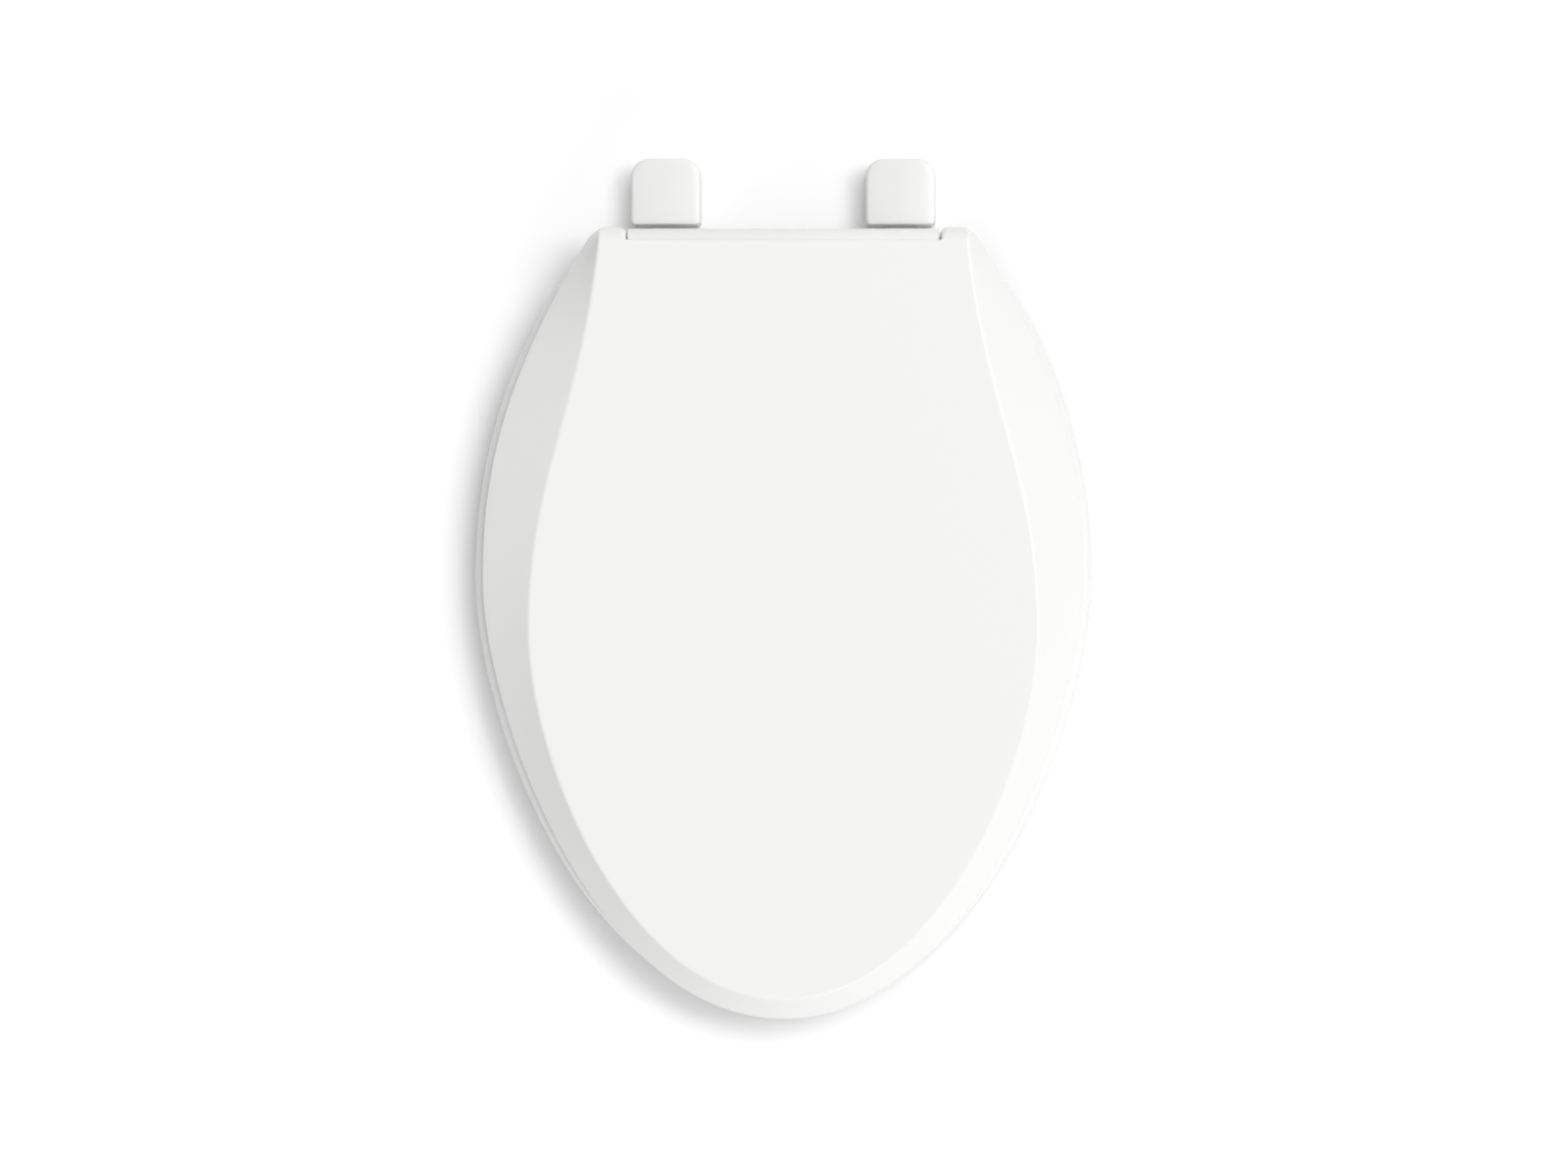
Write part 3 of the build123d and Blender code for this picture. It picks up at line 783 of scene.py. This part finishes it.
    def fittings(self, moulding):
        """What stands inside on the right: the rib beside the notch, the round hinge boss through it along X,
        and the bumper's boss."""
        notch = self.s.notch_half_width
        top = self.roof + self.ROOT
        edges = (self.FITTING_EASE, self.ROOT_EASE)
        rib = (notch + self.RIB_IN, self.RIB_Y)
        slab(moulding, rib, 0, self.RIB_SIZE, self.low, top, self.FITTING_EASE, *edges)
        angle = np.linspace(0, 2 * pi, 41)[:-1]
        radius = self.HINGE_BOSS_RADIUS
        boss = np.stack([HINGE_Y + radius * np.cos(angle), HINGE_Z + radius * np.sin(angle)], -1)
        extruded(moulding, boss, notch + self.HINGE_BOSS_IN, self.HINGE_BOSS_END, self.FITTING_EASE)
        x, y, turn = LID_BUMPERS["right"]
        size, corner = self.BUMPER_BOSS_SIZE, self.BUMPER_BOSS_CORNER
        slab(moulding, (x, y), turn, size, LID_BUMPER_HIGH, top, corner, *edges)


class TOILETSEAT_OT_lid(bpy.types.Operator):
    """Mould the lid: a bevelled shell with a rear notch between two ears."""

    bl_idname = "toilet_seat.lid"
    bl_label = "Lid"

    def execute(self, context):
        settings = context.scene.toilet_seat
        form = LidForm(settings.lid)
        lid = Moulding()
        form.shell(lid)
        lid.pair(form.ear)
        lid.pair(form.fittings)
        finish_piece(lid, "lid", "lid", seat_plastic(settings.finish))
        return {"FINISHED"}


# Ring


def about_hinge(angle, radius):
    """Points in the YZ plane by their angles about the hinge line, from forward through up to the rear."""
    turn = np.radians(np.asarray(angle, float))
    return np.stack([HINGE_Y - radius * np.cos(turn), HINGE_Z + radius * np.sin(turn)], -1)


def ring_section(s):
    """Rows of the ring's section, once round: each is a share of the way from outer outline to opening, the
    inset from the one it follows, if any, and the height. It climbs the outer side and its round, crosses the
    top, falls over the opening's round, and returns under the ring through the groove."""
    low, high = RING_LOW.z, RING_TOP
    ease_in, ease_rise = quarter(s.ease, 4)
    out_in, out_rise = quarter(s.outer_round, 9)
    in_in, in_rise = quarter(s.inner_round, 11)
    roof = high - s.roof
    bevel, bend, chord = 0.5 * MM, 1.2 * MM, 0.35 * MM

    def groove(side, wall):
        foot = [(wall - bevel, low), (wall, low + bevel), (wall, (low + roof) / 2)]
        head = [(wall, roof - bend), (wall + chord, roof - chord), (wall + bend, roof)]
        return [(side, inset, z) for inset, z in foot + head]

    rows = [(0, i, low + s.ease - r) for i, r in zip(ease_in[::-1], ease_rise[::-1])]
    rows += [(0, i, high - s.outer_round + r) for i, r in zip(out_in, out_rise)]
    rows += [(share, None, high) for share in (0.2, 0.4, 0.6, 0.8)]
    rows += [(1, i, high - s.inner_round + r) for i, r in zip(in_in[::-1], in_rise[::-1])]
    rows += [(1, i, low + s.ease - r) for i, r in zip(ease_in, ease_rise)]
    rows += groove(1, s.inner_wall)
    rows += [(share, None, roof) for share in (0.75, 0.5, 0.25)]
    rows += groove(0, s.outer_wall)[::-1]
    return rows


def ring_surface(rows, count):
    """The ring's right half, section rows by stations from front to rear. A row with an inset follows its
    outline, and one without lies between the nearest that have one, at its share of the way."""
    shares = np.linspace(0, 1, count)
    known = [i for i, row in enumerate(rows) if row[1] is not None]
    blank = [i for i, row in enumerate(rows) if row[1] is None]
    surface = np.empty((len(rows), count, 3))
    surface[..., 2] = np.array([row[2] for row in rows])[:, None]
    surface[known, :, :2] = [
        outline_half(RING, inset, shares) if side == 0 else opening_half(inset, shares)
        for side, inset, height in (rows[i] for i in known)
    ]
    places = np.searchsorted(known, blank)
    before, after = np.array(known)[places - 1], np.array(known)[places]
    share = np.array([rows[i][0] for i in blank])
    toward = np.array([rows[i][0] for i in after])
    way = np.where(toward == 1, share, 1 - share)[:, None, None]
    surface[blank, :, :2] = surface[before, :, :2] * (1 - way) + surface[after, :, :2] * way
    return surface


class TOILETSEAT_OT_ring(bpy.types.Operator):
    """Mould the seat ring with its underside groove and hinge rail."""

    bl_idname = "toilet_seat.ring"
    bl_label = "Seat ring"

    STATIONS = 240
    # The rail: its bridge's tip in Y and Z, the slot's edges in degrees about the hinge, and its end in X
    BRIDGE_TIP = (-95.0 * MM, 29.0 * MM)
    SLOT_FRONT = -19.5
    SLOT_REAR = 185.5
    RAIL_END = 91.7 * MM
    RAIL_EASE = 0.5 * MM
    # The lugs: their spans in X, their lower rear corner in Y and Z, and how far they keep inside the rail
    LUG_END = RAIL_END - 0.06 * MM
    LUGS = ((-2.5 * MM, 2.5 * MM), (54.4 * MM, 60.4 * MM), (79.6 * MM, LUG_END))
    LUG_HEEL = (-54.5 * MM, 29.0 * MM)
    LUG_IN = 0.05 * MM
    LUG_EASE = 0.4 * MM
    # The ribs across the groove: their count, width, overlap with the walls and height above the ring's base
    RIBS = 12
    RIB_WIDTH = 2.5 * MM
    RIB_OVERLAP = 2.0 * MM
    RIB_FOOT = 3.0 * MM
    RIB_EASE = 0.4 * MM
    # The bosses that hold the bumpers
    BOSS_SIZE = (19.0 * MM, 9.0 * MM)
    BOSS_FOOT = 0.1 * MM
    BOSS_CORNER = 1.2 * MM
    BOSS_EASE = 0.5 * MM
    # Where ribs and bosses end, inside the ring's roof
    ROOT_Z = 27.0 * MM
    ROOT_EASE = 0.3 * MM

    def execute(self, context):
        settings = context.scene.toilet_seat
        s = settings.ring
        ring = Moulding()
        surface = both_halves(ring_surface(ring_section(s), self.STATIONS))
        ring.grid(surface, wrap_rows=True, wrap_columns=True)
        self.rail(ring, s)
        self.stiffeners(ring, s, surface)
        finish_piece(ring, "seat_ring", "seat", seat_plastic(settings.finish))
        return {"FINISHED"}

    def rail(self, ring, s):
        """The slotted hinge barrel with its bridge down to the ring, and the lugs that fill it beside the
        posts. The bridge's top is the tangent from its tip to the barrel, and its underside meets the barrel
        lower down."""
        tip = np.array(self.BRIDGE_TIP)
        run, rise = HINGE_Y - tip[0], tip[1] - HINGE_Z
        tangent = atan2(rise, run) + acos(s.barrel_radius / hypot(run, rise))
        under = tangent - acos((s.barrel_radius - s.bridge) / s.barrel_radius)
        heel = tip + np.array([s.bridge / cos(tangent), 0])
        degrees = 180 / pi
        profile = np.concatenate(
            [
                np.linspace(tip, about_hinge(tangent * degrees, s.barrel_radius), 8)[:-1],
                about_hinge(np.linspace(tangent * degrees, self.SLOT_REAR, 36), s.barrel_radius),
                about_hinge(np.linspace(self.SLOT_REAR, self.SLOT_FRONT, 48), s.bore_radius),
                about_hinge(np.linspace(self.SLOT_FRONT, under * degrees, 12), s.barrel_radius),
                np.linspace(about_hinge(under * degrees, s.barrel_radius), heel, 8)[1:],
            ]
        )
        extruded(ring, profile, -self.RAIL_END, self.RAIL_END, self.RAIL_EASE)
        lug = np.concatenate(
            [
                [tip - np.array([0, self.LUG_IN])],
                about_hinge(np.linspace(tangent * degrees, 270, 48), s.barrel_radius - self.LUG_IN),
                [self.LUG_HEEL],
            ]
        )
        for start, stop in self.LUGS:
            extruded(ring, lug, start, stop, self.LUG_EASE)
            if start > 0:
                extruded(ring, lug, -stop, -start, self.LUG_EASE)

    def stiffeners(self, ring, s, surface):
        """Radial ribs across the groove, from wall to wall at even angles about the middle of the opening's
        widest line, and the bosses that hold the bumpers."""
        middle = np.array([0, OPENING_WIDEST])
        angles = np.radians(360 / self.RIBS * (np.arange(self.RIBS) + 0.5))
        reach = []
        for front in (OPENING_FRONT - s.inner_wall, RING.front + s.outer_wall):
            wall = surface[np.argmin(np.abs(surface[:, 0, 1] - front))]
            arm = wall[:, :2] - middle
            bearing = np.arctan2(arm[:, 1], arm[:, 0]) % (2 * pi)
            order = np.argsort(bearing)
            reach.append(np.interp(angles, bearing[order], np.hypot(*arm.T)[order], period=2 * pi))
        foot = RING_LOW.z + self.RIB_FOOT
        edges = (self.RIB_EASE, self.RIB_EASE, self.ROOT_EASE)
        for angle, near, far in zip(angles, *reach):
            place = middle + np.array([cos(angle), sin(angle)]) * (near + far) / 2
            size = (far - near + self.RIB_OVERLAP, self.RIB_WIDTH)
            slab(ring, place, angle, size, foot, self.ROOT_Z, *edges)
        foot = RING_LOW.z + self.BOSS_FOOT
        edges = (self.BOSS_CORNER, self.BOSS_EASE, self.ROOT_EASE)
        for x, y, turn in SEAT_BUMPERS.values():
            slab(ring, (x, y), turn, self.BOSS_SIZE, foot, self.ROOT_Z, *edges)


# Caps and bumpers


class TOILETSEAT_OT_caps(bpy.types.Operator):
    """Mould the two hinge caps: crowned shells with rounded rear corners."""

    bl_idname = "toilet_seat.caps"
    bl_label = "Hinge caps"

    # Ease of the foot, radius under the roof, half the width of the opening's edge, and the opening's depth
    FOOT_EASE = 0.5 * MM
    INNER_ROUND = 1.0 * MM
    SLOT_EDGE = 0.05 * MM
    SLOT_DEPTH = 3.0 * MM

    def execute(self, context):
        settings = context.scene.toilet_seat
        for name, side in (("left", -1), ("right", 1)):
            cap = Moulding()
            cap.grid(self.shell(settings.cap) + np.array([side * POST_X, 0, 0]), wrap_columns=True)
            finish_piece(cap, f"hinge_cap_{name}", "hinge", seat_plastic(settings.finish))
        return {"FINISHED"}

    def shell(self, s):
        """Rows from the middle of the inside, down the inner wall, round the foot, up the outside and over the
        top edge to its middle. The top is lower by the crown times the square of the place across, its edge is
        nearly sharp at the front, and the foot is raised there between the cheeks, which leaves the opening
        for the post's neck."""
        half = (CAP_HIGH.x - CAP_LOW.x) / 2
        box = ((-half, half), (CAP_LOW.y, CAP_HIGH.y))
        slot = half - s.cheek
        flat = half - s.front_corner
        edge = slot + self.SLOT_EDGE * np.array([1, -1])
        marks = np.concatenate([-edge, slot * np.linspace(-1, 1, 9)[1:-1], edge[::-1]])
        even = np.linspace(0, 1, 7)[1:-1]
        spans = [(marks + flat) / (2 * flat), even, even, even]
        corners = (s.front_corner, s.rear_corner)
        edge_in, edge_rise = quarter(s.edge, 10)
        ease_in, ease_rise = quarter(self.FOOT_EASE, 4)
        inner_in, inner_rise = quarter(self.INNER_ROUND, 5)
        insets = np.concatenate([s.wall + inner_in[::-1], [s.wall], ease_in[::-1], edge_in])
        fronts = np.concatenate([insets[: -len(edge_in)], edge_in * s.front_share])
        loops = np.stack([plan_loop(box, corners, *pair, spans, 12) for pair in zip(insets, fronts)])
        middle = np.array([0, (CAP_LOW.y + CAP_HIGH.y) / 2])
        shrink = np.array([0, 0.3, 0.6, 0.85])[:, None, None]
        inside = middle + (loops[0] - middle) * shrink
        outside = middle + (loops[-1] - middle) * shrink[::-1]
        xy = np.concatenate([inside, loops, outside])
        under_roof = inner_rise[::-1] - self.INNER_ROUND - s.wall
        foot = np.concatenate([[CAP_LOW.z], CAP_LOW.z + self.FOOT_EASE - ease_rise[::-1]])
        below = np.concatenate([np.full(len(inside), -s.wall), under_roof])
        above = np.concatenate([edge_rise - s.edge, np.zeros(len(outside))])
        rise = np.concatenate([below, np.zeros(len(foot)), above])[:, None]
        z = CAP_HIGH.z - s.crown * (xy[..., 0] / half) ** 2 + rise
        z[len(below) : len(below) + len(foot)] = foot[:, None]
        neck = (np.abs(xy[..., 0]) < slot) & (xy[..., 1] < CAP_LOW.y + self.SLOT_DEPTH)
        z = np.where(neck, np.maximum(z, s.slot_height), z)
        return np.concatenate([xy, z[..., None]], -1)


class TOILETSEAT_OT_bumpers(bpy.types.Operator):
    """Mould the rubber bumpers under the ring and the lid."""

    bl_idname = "toilet_seat.bumpers"
    bl_label = "Bumpers"

    # Radii of the corners in plan, of the edge round the foot and of the edge round the top
    SEAT_EDGES = (4.0 * MM, 2.0 * MM, 0.4 * MM)
    LID_EDGES = (3.0 * MM, 1.2 * MM, 0.4 * MM)

    def execute(self, context):
        settings = context.scene.toilet_seat
        s = settings.bumper
        seat_size, lid_size = (s.seat_length, s.seat_width), (s.lid_length, s.lid_width)
        lid_heights = (LID_BUMPER_LOW, LID_BUMPER_HIGH)
        kinds = (
            ("seat_bumper", SEAT_BUMPERS, "seat", seat_size, (0.0, RING_LOW.z), self.SEAT_EDGES),
            ("lid_bumper", LID_BUMPERS, "lid", lid_size, lid_heights, self.LID_EDGES),
        )
        rubber = bumper_rubber(settings.finish)
        for kind, places, body, size, heights, edges in kinds:
            for name, (x, y, turn) in places.items():
                bumper = Moulding()
                slab(bumper, (x, y), turn, size, *heights, *edges)
                finish_piece(bumper, f"{kind}_{name}", body, rubber)
        return {"FINISHED"}


# Materials


def new_material(name):
    """A node material with its node tree and shader, or one that is already made, with nothing to add to."""
    material = bpy.data.materials.get(name)
    if material:
        return material, None, None
    material = bpy.data.materials.new(name)
    material.use_nodes = True
    tree = material.node_tree
    return material, tree, tree.nodes["Principled BSDF"]


def noise(tree, scale, detail, stretch=(1, 1, 1)):
    """Noise on the piece's own coordinates, at a scale in features a metre."""
    place = tree.nodes.new("ShaderNodeTexCoord")
    mapping = tree.nodes.new("ShaderNodeMapping")
    mapping.inputs["Scale"].default_value = stretch
    texture = tree.nodes.new("ShaderNodeTexNoise")
    texture.inputs["Scale"].default_value = scale
    texture.inputs["Detail"].default_value = detail
    tree.links.new(place.outputs["Object"], mapping.inputs["Vector"])
    tree.links.new(mapping.outputs["Vector"], texture.inputs["Vector"])
    return texture.outputs["Fac"]


def vary_colour(tree, shader, source, colour, spread):
    """Colour that drifts either side of the given one."""
    ramp = tree.nodes.new("ShaderNodeValToRGB")
    ramp.color_ramp.elements[0].position = 0.3
    ramp.color_ramp.elements[1].position = 0.7
    ramp.color_ramp.elements[0].color = (*[c * (1 - spread) for c in colour], 1)
    ramp.color_ramp.elements[1].color = (*[min(c * (1 + spread), 1) for c in colour], 1)
    tree.links.new(source, ramp.inputs["Fac"])
    tree.links.new(ramp.outputs["Color"], shader.inputs["Base Color"])


def vary_roughness(tree, shader, source, low, high):
    """Roughness that runs between two values."""
    span = tree.nodes.new("ShaderNodeMapRange")
    span.inputs["From Min"].default_value = 0.3
    span.inputs["From Max"].default_value = 0.7
    span.inputs["To Min"].default_value = low
    span.inputs["To Max"].default_value = high
    tree.links.new(source, span.inputs["Value"])
    tree.links.new(span.outputs["Result"], shader.inputs["Roughness"])


def grain(tree, shader, source, depth, strength):
    """Fine surface relief of a given depth."""
    bump = tree.nodes.new("ShaderNodeBump")
    bump.inputs["Distance"].default_value = depth
    bump.inputs["Strength"].default_value = strength
    tree.links.new(source, bump.inputs["Height"])
    tree.links.new(bump.outputs["Normal"], shader.inputs["Normal"])


def seat_plastic(finish):
    """White moulded plastic: soft gloss, faint flow in its colour and a very slight ripple."""
    material, tree, shader = new_material("seat_plastic")
    if tree:
        vary_colour(tree, shader, noise(tree, scale=9, detail=3), finish.seat_colour, spread=0.006)
        dull = finish.seat_roughness
        vary_roughness(tree, shader, noise(tree, scale=240, detail=4), low=dull - 0.04, high=dull + 0.05)
        grain(tree, shader, noise(tree, scale=700, detail=2), depth=0.00004, strength=0.25)
        shader.inputs["IOR"].default_value = 1.5
        shader.inputs["Coat Weight"].default_value = 0.12
        shader.inputs["Coat Roughness"].default_value = 0.2
    return material


def post_plastic(finish):
    """Satin moulded plastic with a fine spark-eroded grain."""
    material, tree, shader = new_material("post_plastic")
    if tree:
        vary_colour(tree, shader, noise(tree, scale=40, detail=3), finish.post_colour, spread=0.02)
        vary_roughness(tree, shader, noise(tree, scale=300, detail=3), low=0.42, high=0.56)
        grain(tree, shader, noise(tree, scale=2200, detail=3), depth=0.00006, strength=0.5)
    return material


def pin_steel(finish):
    """Drawn stainless rod with fine lines along its length."""
    material, tree, shader = new_material("pin_steel")
    if tree:
        lines = noise(tree, scale=900, detail=4, stretch=(0.03, 1, 1))
        vary_colour(tree, shader, lines, finish.pin_colour, spread=0.06)
        vary_roughness(tree, shader, lines, low=0.22, high=0.4)
        grain(tree, shader, lines, depth=0.00002, strength=0.5)
        shader.inputs["Metallic"].default_value = 1.0
    return material


def pad_rubber(finish):
    """Grey sheet rubber with a cloth-backed grain."""
    material, tree, shader = new_material("pad_rubber")
    if tree:
        vary_colour(tree, shader, noise(tree, scale=160, detail=4), finish.pad_colour, spread=0.12)
        vary_roughness(tree, shader, noise(tree, scale=600, detail=2), low=0.6, high=0.8)
        grain(tree, shader, noise(tree, scale=1500, detail=3), depth=0.0001, strength=0.6)
    return material


def bumper_rubber(finish):
    """Pale moulded rubber, slightly translucent looking, with a dusty surface."""
    material, tree, shader = new_material("bumper_rubber")
    if tree:
        vary_colour(tree, shader, noise(tree, scale=120, detail=4), finish.bumper_colour, spread=0.03)
        vary_roughness(tree, shader, noise(tree, scale=500, detail=3), low=0.5, high=0.68)
        grain(tree, shader, noise(tree, scale=1800, detail=3), depth=0.00008, strength=0.5)
    return material


class TOILETSEAT_OT_hinges(bpy.types.Operator):
    """Finish the hinge posts, pins and pads, whose CAD shapes stay."""

    bl_idname = "toilet_seat.hinges"
    bl_label = "Posts, pins and pads"

    def execute(self, context):
        finish = context.scene.toilet_seat.finish
        kinds = (("hinge_post", post_plastic), ("hinge_pin", pin_steel), ("post_pad", pad_rubber))
        for kind, make in kinds:
            for side in ("left", "right"):
                node = frame["nodes"][f"{kind}_{side}"]
                node.data.materials.clear()
                node.data.materials.append(make(finish))
        return {"FINISHED"}


# Stage


class TOILETSEAT_OT_stage(bpy.types.Operator):
    """Set the pale floor, the soft lamps and the camera straight above."""

    bl_idname = "toilet_seat.stage"
    bl_label = "Stage"

    # Softboxes: bearing from the right round to the rear and height in degrees, size in metres, seen in gloss
    LAMPS = {
        "key": (20, 55, 4.8, True),
        "rear": (60, 60, 4.8, False),
        "fill": (-81, 15, 6.5, False),
    }
    LAMP_DISTANCE = 12.0
    LAMP_AIM = (0, -0.23, 0.02)
    CAMERA_PLACE = (0.0003, -0.2306)
    SENSOR_WIDTH = 36.0
    FLOOR_REACH = 2.0

    def execute(self, context):
        settings = context.scene.toilet_seat.stage
        self.floor(context, settings)
        self.world(context, settings)
        for name in self.LAMPS:
            self.lamp(context, name, getattr(settings, f"{name}_power"))
        camera = bpy.data.objects.new("camera", bpy.data.cameras.new("camera"))
        camera.location = (*self.CAMERA_PLACE, settings.camera_height)
        camera.data.lens = settings.lens
        camera.data.sensor_width = self.SENSOR_WIDTH
        context.scene.collection.objects.link(camera)
        context.scene.camera = camera
        context.scene.view_settings.view_transform = "Standard"
        return {"FINISHED"}

    def floor(self, context, settings):
        """A level sheet under the bowl's rim line."""
        x = np.linspace(-self.FLOOR_REACH, self.FLOOR_REACH, 3)
        sheet = Moulding()
        sheet.grid(np.stack([*np.meshgrid(x, x), np.zeros((3, 3))], -1))
        mesh = sheet.mesh("floor")
        floor = bpy.data.objects.new("floor", mesh)
        material, tree, shader = new_material("floor_paper")
        shader.inputs["Base Color"].default_value = (*settings.floor_colour, 1)
        shader.inputs["Roughness"].default_value = 0.9
        shader.inputs["Specular IOR Level"].default_value = 0.0
        shader.inputs["Emission Color"].default_value = (1, 1, 1, 1)
        glow, hidden = self.seen(tree, 0.0, settings.floor_glow)
        tree.links.new(glow, shader.inputs["Emission Strength"])
        mesh.materials.append(material)
        context.scene.collection.objects.link(floor)

    def seen(self, tree, hidden, shown):
        """A strength that is one value to the light and another where the camera, gloss or glass sees it, and
        the socket of the first."""
        path = tree.nodes.new("ShaderNodeLightPath")
        total = path.outputs["Is Camera Ray"]
        for kind in ("Is Glossy Ray", "Is Transmission Ray"):
            add = tree.nodes.new("ShaderNodeMath")
            add.operation = "ADD"
            add.use_clamp = True
            tree.links.new(total, add.inputs[0])
            tree.links.new(path.outputs[kind], add.inputs[1])
            total = add.outputs[0]
        span = tree.nodes.new("ShaderNodeMapRange")
        span.inputs["To Min"].default_value = hidden
        span.inputs["To Max"].default_value = shown
        tree.links.new(total, span.inputs["Value"])
        return span.outputs["Result"], span.inputs["To Min"]

    def world(self, context, settings):
        """A dome whose light grows from the horizon to the zenith with the height, and which looks plain white
        where it is seen."""
        world = bpy.data.worlds.new("dome")
        world.use_nodes = True
        tree = world.node_tree
        background = tree.nodes["Background"]
        background.inputs["Color"].default_value = (1, 1, 1, 1)
        strength, hidden = self.seen(tree, 0.0, 1.0)
        tree.links.new(strength, background.inputs["Strength"])
        place = tree.nodes.new("ShaderNodeTexCoord")
        split = tree.nodes.new("ShaderNodeSeparateXYZ")
        climb = tree.nodes.new("ShaderNodeMapRange")
        climb.inputs["To Min"].default_value = settings.horizon
        climb.inputs["To Max"].default_value = settings.zenith
        tree.links.new(place.outputs["Generated"], split.inputs["Vector"])
        tree.links.new(split.outputs["Z"], climb.inputs["Value"])
        tree.links.new(climb.outputs["Result"], hidden)
        context.scene.world = world

    def lamp(self, context, name, power):
        """A softbox that faces the seat from its bearing and height."""
        bearing, height, size, gloss = self.LAMPS[name]
        light = bpy.data.lights.new(name, "AREA")
        light.size = size
        light.energy = power
        lamp = bpy.data.objects.new(name, light)
        turn, rise = radians(bearing), radians(height)
        away = Vector((cos(rise) * cos(turn), cos(rise) * sin(turn), sin(rise)))
        lamp.location = Vector(self.LAMP_AIM) + self.LAMP_DISTANCE * away
        lamp.rotation_mode = "QUATERNION"
        lamp.rotation_quaternion = away.to_track_quat("Z", "Y")
        lamp.visible_glossy = gloss
        context.scene.collection.objects.link(lamp)


class TOILETSEAT_PT_panel(bpy.types.Panel):
    """Lists the operators and the settings they read."""

    bl_idname = "TOILETSEAT_PT_panel"
    bl_label = "Toilet seat"
    bl_space_type = "VIEW_3D"
    bl_region_type = "UI"
    bl_category = "Toilet seat"

    def draw(self, context):
        for operator in OPERATORS:
            self.layout.operator(operator.bl_idname)
        settings = context.scene.toilet_seat
        for name in ("lid", "ring", "cap", "bumper", "finish", "stage"):
            group = getattr(settings, name)
            box = self.layout.box()
            box.label(text=name.capitalize())
            for prop in group.bl_rna.properties:
                if not prop.is_readonly and prop.identifier != "name":
                    box.prop(group, prop.identifier)


OPERATORS = (
    TOILETSEAT_OT_stage,
    TOILETSEAT_OT_lid,
    TOILETSEAT_OT_ring,
    TOILETSEAT_OT_caps,
    TOILETSEAT_OT_bumpers,
    TOILETSEAT_OT_hinges,
)
GROUPS = (LidSizes, RingSizes, CapSizes, BumperSizes, FinishSettings, StageSettings, ToiletSeatSettings)
CLASSES = (*GROUPS, *OPERATORS, TOILETSEAT_PT_panel)


def register():
    for cls in CLASSES:
        bpy.utils.register_class(cls)
    bpy.types.Scene.toilet_seat = PointerProperty(type=ToiletSeatSettings)


def unregister():
    del bpy.types.Scene.toilet_seat
    for cls in reversed(CLASSES):
        bpy.utils.unregister_class(cls)


def main():
    """Registers the add-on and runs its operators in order."""
    register()
    bpy.ops.toilet_seat.stage()
    bpy.ops.toilet_seat.lid()
    bpy.ops.toilet_seat.ring()
    bpy.ops.toilet_seat.caps()
    bpy.ops.toilet_seat.bumpers()
    bpy.ops.toilet_seat.hinges()
    bpy.context.view_layer.update()


if __name__ == "__main__":
    main()
